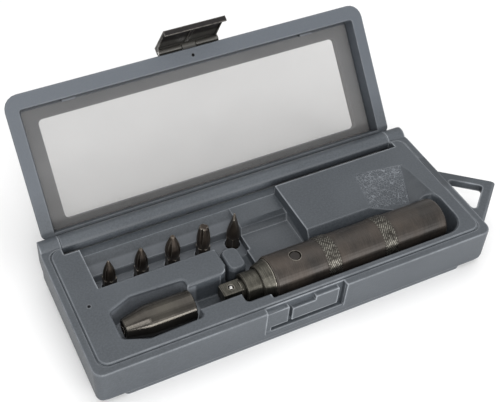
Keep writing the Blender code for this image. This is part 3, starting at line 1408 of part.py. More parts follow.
def bit_holder():
    """The tapered holder: a hex socket with a magnet at the small end, a square socket at the other."""
    origin = (HOLDER_X, DRIVER_Y, HOLDER_Z)
    taper = HOLDER_TAPER_LENGTH
    profile = [
        (0, 0),
        (0, HOLDER_SMALL_RADIUS - HOLDER_EDGE),
        (HOLDER_EDGE, HOLDER_SMALL_RADIUS),
        (taper, HOLDER_RADIUS - HOLDER_EDGE / 4),
        (taper + HOLDER_EDGE * 2, HOLDER_RADIUS),
        (HOLDER_LENGTH - HOLDER_EDGE, HOLDER_RADIUS),
        (HOLDER_LENGTH, HOLDER_RADIUS - HOLDER_EDGE),
        (HOLDER_LENGTH, 0),
    ]
    holder = turned("bit_holder", profile, DRIVER_STEPS, DARK_STEEL, at=origin)
    hex_radius = HEX_RADIUS + SOCKET_PLAY / 2
    cut(holder, rod("hex_socket", hex_radius, (-OVERRUN, 0, 0), (HEX_SOCKET_DEPTH, 0, 0), HEX_SIDES, at=origin))
    cut(holder, rod("hex_lead", hex_radius + SOCKET_LEAD, (-FIT, 0, 0), (SOCKET_LEAD + FIT, 0, 0),
                    SMALL_STEPS, at=origin, end_radius=hex_radius - SOCKET_LEAD))
    magnet_end = HEX_SOCKET_DEPTH + MAGNET_LENGTH + FIT
    cut(holder, rod("magnet_pocket", MAGNET_RADIUS + FIT, (HEX_SOCKET_DEPTH - OVERRUN, 0, 0),
                    (magnet_end, 0, 0), SMALL_STEPS, at=origin))
    half = SQUARE_SIDE / 2 + SOCKET_PLAY / 2
    low_x = HOLDER_LENGTH - SQUARE_SOCKET_DEPTH
    cut(holder, box("square_socket", (low_x, -half, -half), (HOLDER_LENGTH + OVERRUN, half, half), at=origin))
    magnet = rod("bit_magnet", MAGNET_RADIUS, (HEX_SOCKET_DEPTH, 0, 0), (magnet_end - FIT, 0, 0),
                 SMALL_STEPS, BRIGHT_STEEL, at=origin)
    smooth(magnet)
    return holder


def bit_shank(name, finish, x):
    """The hexagonal lower half of a bit, with its lower edge taken off."""
    shank = rod(name, HEX_RADIUS, (0, 0, 0), (0, 0, BIT_SHANK_LENGTH), HEX_SIDES, finish, at=(x, BITS_Y, BIT_BOTTOM_Z))
    chamfer = [
        (-OVERRUN, HEX_RADIUS - BIT_EDGE * 2),
        (-OVERRUN, HEX_RADIUS * 2),
        (BIT_EDGE * 2, HEX_RADIUS * 2),
        (BIT_EDGE * 2, HEX_RADIUS + FIT),
    ]
    cut(shank, turned(f"{name}_chamfer", chamfer, SMALL_STEPS, at=shank.location, axis="Z"))
    return shank


def cross_bit(name, x, length, tip_radius, core, bulge):
    """A cross-head bit: a swelling taper with four flutes."""
    bit = bit_shank(name, BIT_STEEL, x)
    high = length - BIT_SHANK_LENGTH
    shoulder = HEX_FLATS / 2
    profile = [(BIT_SHANK_LENGTH - BIT_EDGE, 0), (BIT_SHANK_LENGTH - BIT_EDGE, shoulder)]
    for k in range(TAPER_STEPS + 1):
        share = k / TAPER_STEPS
        straight = shoulder + (tip_radius - shoulder) * share
        profile.append((
            BIT_SHANK_LENGTH + (high - BIT_EDGE) * share,
            straight + bulge * math.sin(math.pi * share) * (1 - share / 2),
        ))
    profile += [(length, tip_radius - BIT_EDGE), (length, 0)]
    tip = turned(f"{name}_tip", profile, SMALL_STEPS, at=bit.location, axis="Z")
    join(bit, tip)
    for quarter in range(4):
        turn = Matrix.Rotation(math.radians(90) * quarter + math.radians(45), 4, "Z")
        lean = Matrix.Rotation(-FLUTE_TILT, 4, "Y")
        shape = bmesh.new()
        bmesh.ops.create_cube(shape, size=1.0)
        square = Matrix.Rotation(math.radians(45), 4, "Z")
        size = Matrix.Diagonal((FLUTE_WIDTH, FLUTE_WIDTH, high * 2, 1.0))
        lift = Matrix.Translation((core + FLUTE_WIDTH * FLUTE_LIFT_SHARE, 0, length))
        bmesh.ops.transform(shape, matrix=turn @ lift @ lean @ square @ size, verts=shape.verts)
        flute = placed(f"{name}_flute_{quarter + 1}", mesh_of("flute", shape), at=bit.location)
        cut(bit, flute)
    return bit


def slotted_bit(x):
    """The flat-blade bit, turned so that its edge faces the front."""
    name = "bit_slotted"
    bit = bit_shank(name, BIT_STEEL, x)
    turn = Matrix.Rotation(SLOTTED_TWIST, 4, "Z")
    base = []
    for k in range(PIN_STEPS):
        angle = math.radians(360) * k / PIN_STEPS
        for z in (BIT_SHANK_LENGTH - BIT_EDGE, BIT_SHANK_LENGTH + BIT_EDGE):
            base.append(Vector((HEX_FLATS / 2 * math.cos(angle), HEX_FLATS / 2 * math.sin(angle), z)))
    for x_side in (-1, 1):
        for y_side in (-1, 1):
            tip = Vector((x_side * SLOTTED_TIP_THICKNESS / 2, y_side * SLOTTED_TIP_WIDTH / 2, SLOTTED_BIT_LENGTH))
            base.append(turn @ tip)
    join(bit, hull(f"{name}_blade", base, at=bit.location))
    return bit


def bits():
    for number, (name, shape) in enumerate(CROSS_BITS.items()):
        cross_bit(name, FIRST_BIT_X + BIT_PITCH * number, **shape)
    slotted_bit(LAST_BIT_X)


def main():
    case_base()
    hinge_pins()
    joint = hinge_empty()
    case_lid(joint)
    window_sheet(joint)
    latch(joint)
    driver_body()
    pin_inner = cam_pins()
    front_bushing()
    spindle(pin_inner)
    spring_set()
    bit_holder()
    bits()


main()
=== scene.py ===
"""Looks for the boxed hand impact driver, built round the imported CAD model. Lengths are in metres."""
import math

import bmesh
import bpy
from mathutils import Matrix, Vector


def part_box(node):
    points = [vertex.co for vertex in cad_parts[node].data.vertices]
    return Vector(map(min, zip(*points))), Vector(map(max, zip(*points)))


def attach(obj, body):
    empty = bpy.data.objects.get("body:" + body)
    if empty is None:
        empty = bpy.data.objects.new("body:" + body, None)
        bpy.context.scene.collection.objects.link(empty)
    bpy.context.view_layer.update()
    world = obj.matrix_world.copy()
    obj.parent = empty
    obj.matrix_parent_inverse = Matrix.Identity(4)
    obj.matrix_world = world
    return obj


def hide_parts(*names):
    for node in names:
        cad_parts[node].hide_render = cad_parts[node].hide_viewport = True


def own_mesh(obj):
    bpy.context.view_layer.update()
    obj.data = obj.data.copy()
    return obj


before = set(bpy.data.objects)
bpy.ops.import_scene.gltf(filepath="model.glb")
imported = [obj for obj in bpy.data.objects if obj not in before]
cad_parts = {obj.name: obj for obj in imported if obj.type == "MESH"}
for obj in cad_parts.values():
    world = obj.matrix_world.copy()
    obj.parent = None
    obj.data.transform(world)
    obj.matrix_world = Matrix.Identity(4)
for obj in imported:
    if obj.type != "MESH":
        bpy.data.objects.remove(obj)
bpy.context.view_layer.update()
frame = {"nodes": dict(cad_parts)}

# The photograph's camera: where it looks, from how far, and its lens in pixels of the photograph
PHOTO_WIDTH, PHOTO_HEIGHT = 500, 402
TARGET = Vector((-0.0293, 0.0646, 0.029))
CAMERA_DISTANCE = 0.5897
AZIMUTH, ELEVATION, ROLL = math.radians(-24.83), math.radians(45.29), math.radians(0.66)
FOCAL_PIXELS = 903.7
PRINCIPAL_POINT = (181.8, 186.1)
SENSOR_WIDTH = 36.0

# Where the CAD puts what the pieces and grain below are fitted to
DRIVER_Y, DRIVER_Z = -0.0218, 0.022
DRIVER_REAR_X = 0.10915
BODY_RADIUS = 0.014
LAND_Z = 0.03

# The two knurled bands, from the driver's rear end
KNURL_STARTS = {"rear": 0.0363, "front": 0.0765}
KNURL_WIDTH = 0.0098
KNURL_AROUND, KNURL_ALONG = 48, 6
KNURL_LOW, KNURL_HIGH = 0.00012, 0.00058
KNURL_EDGE, KNURL_SUNK = 0.00005, 0.0002
KNURL_SMOOTH_ANGLE = math.radians(5)
KNURL_DARK, KNURL_LIGHT = (0.018, 0.016, 0.014), (0.030, 0.027, 0.023)
KNURL_WORN = (0.27, 0.26, 0.225)

# The upper cam pin, and the painted shade of its gap in a rim round it
CAM_PIN_RADIUS, PIN_GAP_SHADE_RIM = 0.0034, 0.0006
PIN_GAP_SHADE_TONE = (0.010, 0.008, 0.007)

# The finger scoop, from its front to its back: where its long face starts, its valley and its far edge
SCOOP_START = ((0.06935, -0.0148), (0.07755, 0.0277))
SCOOP_VALLEY = ((0.09965, -0.0148), (0.11185, 0.0223))
SCOOP_END = ((0.11795, -0.0148), (0.11335, 0.0223))
SCOOP_DEEP, SCOOP_SHALLOW = 0.0127, 0.0003
SCOOP_STEPS = 6
SCOOP_ABOVE = 0.002

# The leather grain on the scoop's long face, whose ridges get a painted highlight, and the painted shade
# on its short one, front and back
SKIN_Z, GRAIN_LOW_Z = LAND_Z - 0.00002, LAND_Z - 0.0140
GRAIN_FRONT, GRAIN_BACK = -0.0035, 0.0265
SHADE_FRONT, SHADE_BACK = GRAIN_FRONT - 0.004, 0.0245
WRINKLE_SIZE, WRINKLE_HEIGHT = 0.0019, 0.0004

# The case's outline, its hinge ends, and the groove between its ledge and its land
CASE_HALF_LENGTH, CASE_HALF_DEPTH = 0.13245, 0.050
KNUCKLE_END_X, KNUCKLE_BACK_Y = 0.13155, 0.0572
KNUCKLE_CORNER = 0.0042
KNUCKLE_LOW_Z, KNUCKLE_HIGH_Z = 0.012, 0.040
KNUCKLE_STEPS = 8
LEDGE_Z = 0.029
GROOVE_OUTER, GROOVE_INNER = 0.0045, 0.0057
GROOVE_CORNER = 0.006
GROOVE_FILL_TOP, GROOVE_FILL_BOTTOM = 0.0004, 0.0012
GROOVE_BACK_Y = 0.0385
GROOVE_STEPS = 6

# How the tray's copy is welded, flattened and shaded
WELD = 0.000001
FLAT_ANGLE, TRAY_SMOOTH_ANGLE = math.radians(0.3), math.radians(20)
FLAT_WEIGHT = 100

# The slotted bit: its hexagonal shank, then its blade's base, belly, tip, turn and top
HEX_RADIUS, HEX_SIDE_ANGLE = 0.00462, math.radians(60)
SHANK_FOOT_SHARE, SHANK_CHAMFER, SHANK_NECK = 0.85, 0.0008, 0.0010
BLADE_BASE_HEIGHT, BLADE_BASE_RADIUS = 0.0140, 0.0044
BLADE_BELLY = 1.7
BLADE_TIP = (0.0009, 0.0060)
BLADE_TURN = math.radians(-30)
SLOTTED_LENGTH = 0.0303
BLADE_POINTS, BLADE_STEPS = 24, 5
BLADE_SMOOTH_ANGLE = math.radians(30)

# How smoothly the main spring's copy is shaded
SPRING_SMOOTH_ANGLE = math.radians(40)

# With the lid open: the latch's pivot, and the heights between which painted light lifts the lid's grey
LATCH_Y, LATCH_Z = 0.12106, 0.09479
LID_LIGHT_LOW_Z, LID_LIGHT_HIGH_Z = 0.034, 0.050

# The needle holes in the tray's land and, with the lid open, in the lid's rim, darkened with painted
# shade
TRAY_HOLE, LID_HOLE = (-0.11865, -0.0034, 0.0300), (0, 0.11292, 0.09287)

# How far from their middles the hole's, the lug's and the latch's tones begin and are full
HOLE_FADE, LUG_FADE, LATCH_FADE = (0.0013, 0.0010), (0.0031, 0.0025), (0.010, 0.007)

# The moulded plastic: its rounded edges, its mottle, its greys, the painted light high on the lid, the
# painted shade in its hollows, on the scoop's short face and in needle holes, the painted highlight on
# the grain's ridges, and how strongly its edges get rubbed wear with a painted highlight
PLASTIC_ROUNDING = 0.0007
MOTTLE_SIZE, MOTTLE_HEIGHT = 0.0012, 0.00014
PLASTIC_DARK, PLASTIC_LIGHT = (0.043, 0.050, 0.058), (0.052, 0.060, 0.069)
MOTTLE_TONE, RUBBED_AND_HIGHLIGHT_TONE = (0.088, 0.098, 0.112), (0.29, 0.31, 0.335)
LID_PAINTED_LIGHT_TONE, HOLLOW_PAINTED_SHADE_TONE = (0.075, 0.086, 0.101), (0.014, 0.014, 0.015)
WRINKLE_HIGHLIGHT_TONE, SCOOP_END_PAINTED_SHADE = (0.185, 0.200, 0.220), (0.026, 0.031, 0.037)
HOLE_PAINTED_SHADE_TONE, LUG_TONE = (0.010, 0.011, 0.013), (0.080, 0.077, 0.070)
TRAY_RUBBED_AND_HIGHLIGHT, LID_RUBBED_AND_HIGHLIGHT = (0.45, 0.95), (0.10, 0.30)

# The wells of the holder and the bits, whose walls get painted light in a paler grey, and by how much
WELL_PAINTED_LIGHT_TONE, WELL_PAINTED_LIGHT_SOFT = (0.200, 0.216, 0.238), 0.0012
PAINTED_LIGHT_WELLS = (
    ((-0.1080, -0.0370, 0.0), (-0.0560, 0.0020, LAND_Z - 0.0025), 0.75),
    ((-0.1100, 0.0090, 0.0), (-0.0080, 0.0330, LAND_Z - 0.0075), 0.40),
)

# Blackened steel: how metallic it is, its tone where it is worn bare, and the bits made of it
BLACK_STEEL_METALLIC = 0.85
BARE_STEEL = (0.42, 0.39, 0.34)
BITS = ("bit_cross_small", "bit_cross_medium", "bit_cross_large", "bit_cross_blunt", "bit_slotted")

# Each light's place, aim, size and watts
LIGHTS = {
    "overhead": ((0.1, 0.25, 1.3), (0, 0, 0), (1.4, 1.2), 6),
    "front": ((0.10, -1.30, 0.34), (0, 0, 0.03), (1.4, 0.28), 13),
    "fill": ((-0.45, -0.95, 1.15), (0, 0, 0.02), (0.7, 0.5), 6),
}
WORLD_STRENGTH = 0.80
FLOOR_HALF = 3.0

# What the materials' edge and hollow nodes use, and the openness at which a hollow's shade begins
BEVEL_SAMPLES, SHADE_SAMPLES = 6, 10
SHADE_START = 0.97


# Node graphs


class Graph:
    """A material's node tree, with short ways to add the nodes used here."""

    def __init__(self, name):
        self.material = bpy.data.materials.new(name)
        self.material.use_nodes = True
        self.tree = self.material.node_tree
        self.tree.nodes.clear()
        self.shader = self.add("ShaderNodeBsdfPrincipled")
        output = self.add("ShaderNodeOutputMaterial")
        self.join(self.shader.outputs[0], output.inputs["Surface"])
        self.place = self.add("ShaderNodeTexCoord").outputs["Object"]

    def add(self, kind, **settings):
        node = self.tree.nodes.new(kind)
        for key, value in settings.items():
            setattr(node, key, value)
        return node

    def join(self, source, target):
        self.tree.links.new(source, target)

    def feed(self, value, socket):
        if isinstance(value, bpy.types.NodeSocket):
            self.join(value, socket)
        else:
            socket.default_value = value

    def set(self, **values):
        for key, value in values.items():
            self.feed(value, self.shader.inputs[key.replace("_", " ")])

    def math(self, operation, first, second=0.0):
        node = self.add("ShaderNodeMath", operation=operation)
        self.feed(first, node.inputs[0])
        self.feed(second, node.inputs[1])
        return node.outputs[0]

    def times(self, *factors):
        product = factors[0]
        for factor in factors[1:]:
            product = self.math("MULTIPLY", product, factor)
        return product

    def noise(self, size, detail=2.0, rough=0.5, stretch=(1, 1, 1)):
        """Noise whose features are about size metres across."""
        where = self.add("ShaderNodeMapping")
        where.inputs["Scale"].default_value = stretch
        self.join(self.place, where.inputs["Vector"])
        node = self.add("ShaderNodeTexNoise")
        self.join(where.outputs[0], node.inputs["Vector"])
        node.inputs["Scale"].default_value = 1 / size
        node.inputs["Detail"].default_value = detail
        node.inputs["Roughness"].default_value = rough
        return node.outputs["Fac"]

    def cells(self, size):
        """How far a point lies from the edges of a net of cells about size metres across."""
        node = self.add("ShaderNodeTexVoronoi", feature="DISTANCE_TO_EDGE")
        self.join(self.place, node.inputs["Vector"])
        node.inputs["Scale"].default_value = 1 / size
        return node.outputs["Distance"]

    def span(self, value, low, high, to_low=0.0, to_high=1.0):
        node = self.add("ShaderNodeMapRange", clamp=True)
        self.feed(value, node.inputs["Value"])
        node.inputs["From Min"].default_value = low
        node.inputs["From Max"].default_value = high
        node.inputs["To Min"].default_value = to_low
        node.inputs["To Max"].default_value = to_high
        return node.outputs[0]

    def blend(self, share, first, second):
        node = self.add("ShaderNodeMix", data_type="RGBA")
        self.feed(share, node.inputs["Factor"])
        # The node's colour sockets are A and B at 6 and 7, and the result at 2
        for colour, socket in ((first, node.inputs[6]), (second, node.inputs[7])):
            self.feed(colour if isinstance(colour, bpy.types.NodeSocket) else (*colour, 1), socket)
        return node.outputs[2]

    def patchy(self, noise, dark, light):
        """A tone that drifts between two."""
        return self.blend(self.span(noise, 0.35, 0.65), dark, light)

    def hole(self, tone, centre):
        """Paints shade into a tone where a needle hole lies."""
        return self.blend(self.span(self.from_point(centre), *HOLE_FADE), tone, HOLE_PAINTED_SHADE_TONE)

    def axis(self, name):
        node = self.add("ShaderNodeSeparateXYZ")
        self.join(self.place, node.inputs[0])
        return node.outputs[name]

    def past_line(self, line, soft):
        """How far a point lies beyond a line on the plan, as a share of the soft distance."""
        (front_x, front_y), (back_x, back_y) = line
        slope = (back_x - front_x) / (back_y - front_y)
        beyond = self.math("SUBTRACT", self.axis("X"), front_x - front_y * slope)
        beyond = self.math("SUBTRACT", beyond, self.times(self.axis("Y"), slope))
        return self.span(beyond, 0, soft)

    def within(self, low, high, soft):
        """Whether a point lies in a box, fading out over the soft distance beyond it."""
        share = 1.0
        for name, start, end in zip("XYZ", low, high):
            place = self.axis(name)
            share = self.times(
                share, self.span(place, start - soft, start), self.span(place, end + soft, end)
            )
        return share

    def from_point(self, point):
        node = self.add("ShaderNodeVectorMath", operation="DISTANCE")
        self.join(self.place, node.inputs[0])
        node.inputs[1].default_value = point
        return node.outputs["Value"]

    def from_axis(self, y, z):
        """A point's distance from a line along X."""
        across = self.math("SUBTRACT", self.axis("Y"), y)
        up = self.math("SUBTRACT", self.axis("Z"), z)
        return self.math("SQRT", self.math("ADD", self.times(across, across), self.times(up, up)))

    def rounded(self, radius):
        """The normal of a surface whose sharp edges are rounded by radius."""
        node = self.add("ShaderNodeBevel", samples=BEVEL_SAMPLES)
        node.inputs["Radius"].default_value = radius
        return node.outputs[0]

    def shade(self, reach, full, inside):
        """How closed in a point is, looking into the solid (inside) or out of it, from 0 to 1."""
        node = self.add(
            "ShaderNodeAmbientOcclusion", samples=SHADE_SAMPLES, inside=inside, only_local=True
        )
        node.inputs["Distance"].default_value = reach
        return self.span(node.outputs["AO"], SHADE_START, full)

    def edges(self, reach, full):
        """How near a point lies to an outer edge, from 0 to 1."""
        return self.shade(reach, full, inside=True)

    def hollows(self, reach, full):
        """How deep a point lies in a hollow, from 0 to 1."""
        return self.shade(reach, full, inside=False)

    def bump(self, height, distance, normal=None):
        node = self.add("ShaderNodeBump")
        self.feed(height, node.inputs["Height"])
        node.inputs["Distance"].default_value = distance
        if normal is not None:
            self.join(normal, node.inputs["Normal"])
        return node.outputs[0]


# Materials


def leather_mask(g):
    """Where the moulded leather grain lies: on the finger scoop's long face, just under the land."""
    return g.times(
        g.past_line(SCOOP_START, 0.003),
        g.math("SUBTRACT", 1.0, g.past_line(SCOOP_VALLEY, 0.0006)),
        g.span(g.axis("Y"), GRAIN_FRONT, GRAIN_FRONT + 0.0015),
        g.span(g.axis("Y"), GRAIN_BACK, GRAIN_BACK - 0.0010),
        g.span(g.axis("Z"), SKIN_Z, LAND_Z - 0.00010),
        g.span(g.axis("Z"), GRAIN_LOW_Z, GRAIN_LOW_Z + 0.0015),
    )


def scoop_end_shade_mask(g):
    """The finger scoop's short face, beyond its valley, where shade is painted."""
    return g.times(
        g.past_line(SCOOP_VALLEY, 0.0004),
        g.span(g.axis("Z"), SKIN_Z, LAND_Z - 0.0003),
        g.span(g.axis("Y"), SHADE_BACK, SHADE_BACK - 0.002),
        g.span(g.axis("Y"), SHADE_FRONT, GRAIN_FRONT),
    )


def moulded(name):
    """The start of a moulded plastic: its nodes, its grey, its fine mottle and its normal."""
    g = Graph(name)
    tone = g.patchy(g.noise(0.035, detail=3), PLASTIC_DARK, PLASTIC_LIGHT)
    mottle = g.noise(MOTTLE_SIZE, rough=0.6)
    return g, tone, mottle, g.bump(mottle, MOTTLE_HEIGHT, g.rounded(PLASTIC_ROUNDING))


def worn_and_highlit_plastic(g, tone, mottle, rubbed):
    """Mottles a moulded plastic's grey and lightens its outer edges, partly as rubbed wear and partly as
    a painted highlight.
    """
    tone = g.blend(g.span(mottle, 0.38, 0.68, 0, 0.42), tone, MOTTLE_TONE)
    edge = g.edges(0.0012, 0.50)
    # Lighter outer edges: partly rubbed wear, partly a painted highlight
    return g.blend(g.times(edge, g.span(g.noise(0.008, detail=3), 0.3, 0.6, *rubbed)), tone, RUBBED_AND_HIGHLIGHT_TONE)


def plastic_material(g, tone, mottle, normal):
    """The end of a moulded plastic."""
    g.set(Base_Color=tone, Roughness=g.span(mottle, 0.3, 0.7, 0.42, 0.54), Normal=normal)
    g.shader.inputs["Specular IOR Level"].default_value = 0.45
    return g.material


def tray_plastic():
    """The tray's plastic: painted light on the walls of two wells, leather grain with a painted
    highlight on its ridges in the finger scoop, painted shade on the scoop's short face and in a needle
    hole, and edges lightened by rubbed wear and a painted highlight.
    """
    g, tone, mottle, normal = moulded("case_plastic")
    # Painted light on the walls of the holder's and the bits' wells
    for low, high, share in PAINTED_LIGHT_WELLS:
        tone = g.blend(g.times(g.within(low, high, WELL_PAINTED_LIGHT_SOFT), share), tone, WELL_PAINTED_LIGHT_TONE)
    tone = worn_and_highlit_plastic(g, tone, mottle, TRAY_RUBBED_AND_HIGHLIGHT)
    ridge = g.times(g.span(g.cells(WRINKLE_SIZE), 0.16, 0.04), leather_mask(g))
    # Painted highlight on the raised wrinkles of the leather grain
    tone = g.blend(g.times(ridge, g.span(g.noise(0.0030), 0.35, 0.6, 0.35, 0.9)), tone, WRINKLE_HIGHLIGHT_TONE)
    # Painted shade on the scoop's short face, beyond its valley
    tone = g.blend(g.times(scoop_end_shade_mask(g), 0.6), tone, SCOOP_END_PAINTED_SHADE)
    # Painted shade in the tray's needle hole
    tone = g.hole(tone, TRAY_HOLE)
    return plastic_material(g, tone, mottle, g.bump(ridge, WRINKLE_HEIGHT, normal))


def lid_plastic():
    """The lid's plastic: painted light higher up, painted shade in its hollow corners and in a needle
    hole, and dark where it carries the latch.
    """
    g, tone, mottle, normal = moulded("lid_plastic")
    # Painted light: the lid's grey is lifted higher up
    tone = g.blend(g.span(g.axis("Z"), LID_LIGHT_LOW_Z, LID_LIGHT_HIGH_Z), tone, LID_PAINTED_LIGHT_TONE)
    tone = worn_and_highlit_plastic(g, tone, mottle, LID_RUBBED_AND_HIGHLIGHT)
    # Painted shade in the lid's hollow corners, where the rim meets the recess
    tone = g.blend(g.times(g.hollows(0.0016, 0.55), 0.85), tone, HOLLOW_PAINTED_SHADE_TONE)
    tone = g.blend(g.span(g.from_axis(LATCH_Y, LATCH_Z), *LUG_FADE), tone, LUG_TONE)
    # Painted shade in the lid's needle hole
    tone = g.hole(tone, LID_HOLE)
    return plastic_material(g, tone, mottle, normal)


def dark_steel(name, dark, light, rough, wear, lines=0.0, metal=BLACK_STEEL_METALLIC, pin_gap_shade_at=None):
    """Blackened steel: soft tones, turned lines, bare metal along its edges, and painted shade in the
    gap round a pin.
    """
    g = Graph(name)
    normal = g.rounded(0.0003)
    edge = g.edges(0.0005, 0.6)
    patches = g.noise(0.018, detail=3)
    tone = g.patchy(patches, dark, light)
    rubbed = g.times(edge, wear, g.span(g.noise(0.002, detail=3), 0.35, 0.6, 0.35, 1))
    tone = g.blend(rubbed, tone, BARE_STEEL)
    ringed = g.noise(0.0009, stretch=(6, 0.15, 0.15))
    if lines:
        tone = g.blend(g.span(ringed, 0.45, 0.65, 0, lines * 0.5), tone, BARE_STEEL)
    # Painted shade of the gap between the cam pin and its bore, in a rim round the pin
    if pin_gap_shade_at:
        near_pin = g.span(g.from_point(pin_gap_shade_at), CAM_PIN_RADIUS + PIN_GAP_SHADE_RIM, CAM_PIN_RADIUS)
        tone = g.blend(g.times(near_pin, 0.75), tone, PIN_GAP_SHADE_TONE)
    grain = g.noise(0.0007, rough=0.6)
    height = g.math("ADD", g.times(ringed, lines), g.times(grain, 0.35))
    low, high = rough
    g.set(Base_Color=tone, Roughness=g.span(patches, 0.35, 0.65, low, high),
          Normal=g.bump(height, 0.00003, normal))
    g.shader.inputs["Metallic"].default_value = metal
    return g.material


def knurl_steel():
    """The driver's steel where it is knurled: dark between the points, which are worn bright."""
    g = Graph("knurl_steel")
    distance = g.from_axis(DRIVER_Y, DRIVER_Z)
    point = g.span(distance, BODY_RADIUS + KNURL_LOW * 2, BODY_RADIUS + KNURL_HIGH * 0.9)
    worn = g.times(point, g.span(g.noise(0.0018, rough=0.6), 0.38, 0.60, 0.08, 1))
    tone = g.patchy(g.noise(0.008, detail=3), KNURL_DARK, KNURL_LIGHT)
    tone = g.blend(worn, tone, KNURL_WORN)
    g.set(Base_Color=tone, Roughness=g.span(worn, 0, 1, 0.50, 0.40),
          Normal=g.bump(g.noise(0.0005), 0.00003))
    g.shader.inputs["Metallic"].default_value = BLACK_STEEL_METALLIC
    return g.material


def bright_steel():
    """Bare drawn steel, a little brighter along its edges."""
    g = Graph("bright_steel")
    edge = g.edges(0.0004, 0.6)
    streaks = g.noise(0.002, detail=3, rough=0.6, stretch=(5, 1, 1))
    tone = g.patchy(streaks, dark=(0.46, 0.45, 0.43), light=(0.60, 0.59, 0.57))
    tone = g.blend(g.times(edge, 0.5), tone, (0.78, 0.77, 0.75))
    g.set(Base_Color=tone, Roughness=g.span(streaks, 0.3, 0.7, 0.22, 0.34),
          Normal=g.bump(streaks, 0.00002, g.rounded(0.0002)))
    g.shader.inputs["Metallic"].default_value = 1.0
    return g.material


def latch_metal():
    """The latch's browned sheet steel, rubbed pale along its folds."""
    g = Graph("latch_metal")
    edge = g.edges(0.0007, 0.55)
    patches = g.noise(0.006, detail=4, rough=0.6)
    tone = g.patchy(patches, dark=(0.011, 0.010, 0.010), light=(0.020, 0.017, 0.017))
    tone = g.blend(g.span(g.from_axis(LATCH_Y, LATCH_Z), *LATCH_FADE), tone, (0.095, 0.092, 0.085))
    rubbed = g.times(edge, g.span(g.noise(0.002, detail=3), 0.3, 0.6, 0.2, 0.8))
    tone = g.blend(rubbed, tone, (0.22, 0.205, 0.18))
    g.set(Base_Color=tone, Roughness=g.span(patches, 0.3, 0.7, 0.36, 0.5),
          Normal=g.bump(g.noise(0.0006), 0.00004, g.rounded(0.0004)))
    g.shader.inputs["Metallic"].default_value = 0.7
    return g.material


def window_clear():
    """Thin clear sheet with a warm grey tint, faint smears and a soft gloss."""
    g = Graph("window_clear")
    smear = g.noise(0.03, detail=4, rough=0.6, stretch=(1, 1, 2))
    tone = g.patchy(smear, dark=(0.196, 0.187, 0.180), light=(0.228, 0.218, 0.209))
    g.set(Base_Color=tone, Roughness=g.span(smear, 0.3, 0.7, 0.18, 0.30),
          Normal=g.bump(g.noise(0.02), 0.00015))
    g.shader.inputs["Alpha"].default_value = 0.25
    return g.material


def seal_rubber():
    """Black rubber with a faint speckle."""
    g = Graph("seal_rubber")
    speck = g.noise(0.0006)
    tone = g.blend(g.span(speck, 0.3, 0.7), (0.016, 0.016, 0.016), (0.028, 0.027, 0.027))
    g.set(Base_Color=tone, Roughness=0.62, Normal=g.bump(speck, 0.00003))
    return g.material


def floor_white():
    """The white ground under the case."""
    g = Graph("floor_white")
    tone = g.blend(g.noise(0.4), (0.86, 0.86, 0.86), (0.88, 0.88, 0.88))
    g.set(Base_Color=tone, Roughness=0.7)
    return g.material


# Pieces


def piece(name, shape, finish, body, angle):
    """Makes a shape a visible piece that rides on a body, with its sharper edges kept sharp."""
    mesh = bpy.data.meshes.new(name)
    shape.to_mesh(mesh)
    shape.free()
    mesh.materials.append(finish)
    made = bpy.data.objects.new(name, mesh)
    bpy.context.scene.collection.objects.link(made)
    for face in mesh.polygons:
        face.use_smooth = True
    mesh.set_sharp_from_angle(angle=angle)
    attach(made, body)
    return made


def driver_ring(shape, x, radii):
    """Points round the driver's axis, one for each radius."""
    ring = []
    for step, radius in enumerate(radii):
        angle = 2 * math.pi * step / len(radii)
        y, z = DRIVER_Y + radius * math.cos(angle), DRIVER_Z + radius * math.sin(angle)
        ring.append(shape.verts.new((x, y, z)))
    return ring


def skin(shape, first, second):
    """Joins two rings of points with faces."""
    for step in range(len(first)):
        after = (step + 1) % len(first)
        shape.faces.new((first[step], first[after], second[after], second[step]))


def knurl(name, start, finish):
    """A band of small diamond points round the driver's body, closed inside the body's skin."""
    columns, rows = KNURL_AROUND * 2, KNURL_ALONG * 2
    shape = bmesh.new()
    rings = []
    for row in range(rows + 1):
        x = DRIVER_REAR_X - start - KNURL_WIDTH * row / rows
        if row in (0, rows):
            radii = [BODY_RADIUS + KNURL_EDGE] * columns
        else:
            heights = (KNURL_HIGH if (row + column) % 2 else KNURL_LOW for column in range(columns))
            radii = [BODY_RADIUS + height for height in heights]
        rings.append(driver_ring(shape, x, radii))
    inner_front = driver_ring(shape, rings[-1][0].co.x, [BODY_RADIUS - KNURL_SUNK] * columns)
    inner_rear = driver_ring(shape, rings[0][0].co.x, [BODY_RADIUS - KNURL_SUNK] * columns)
    rings += [inner_front, inner_rear]
    for first, second in zip(rings, rings[1:] + rings[:1]):
        skin(shape, first, second)
    bmesh.ops.recalc_face_normals(shape, faces=shape.faces)
    return piece(name, shape, finish, "driver", KNURL_SMOOTH_ANGLE)


def loft(rings):
    """A closed shape through rings of points."""
    shape = bmesh.new()
    loops = [[shape.verts.new(point) for point in ring] for ring in rings]
    for below, above in zip(loops, loops[1:]):
        skin(shape, below, above)
    shape.faces.new(loops[0][::-1])
    shape.faces.new(loops[-1])
    bmesh.ops.triangulate(shape, faces=shape.faces)
    bmesh.ops.recalc_face_normals(shape, faces=shape.faces)
    return shape


def settle(made):
    """Applies a piece's modifiers."""
    graph = bpy.context.evaluated_depsgraph_get()
    result = bpy.data.meshes.new_from_object(made.evaluated_get(graph))
    made.modifiers.clear()
    made.data = result


def carve(made, shape, operation):
    """Cuts a shape out of a piece, or joins it on."""
    mesh = bpy.data.meshes.new("tool")
    shape.to_mesh(mesh)
    shape.free()
    tool = bpy.data.objects.new("tool", mesh)
    bpy.context.scene.collection.objects.link(tool)
    step = made.modifiers.new("carve", "BOOLEAN")
    step.operation, step.solver, step.object = operation, "EXACT", tool
    settle(made)
    bpy.data.objects.remove(tool)


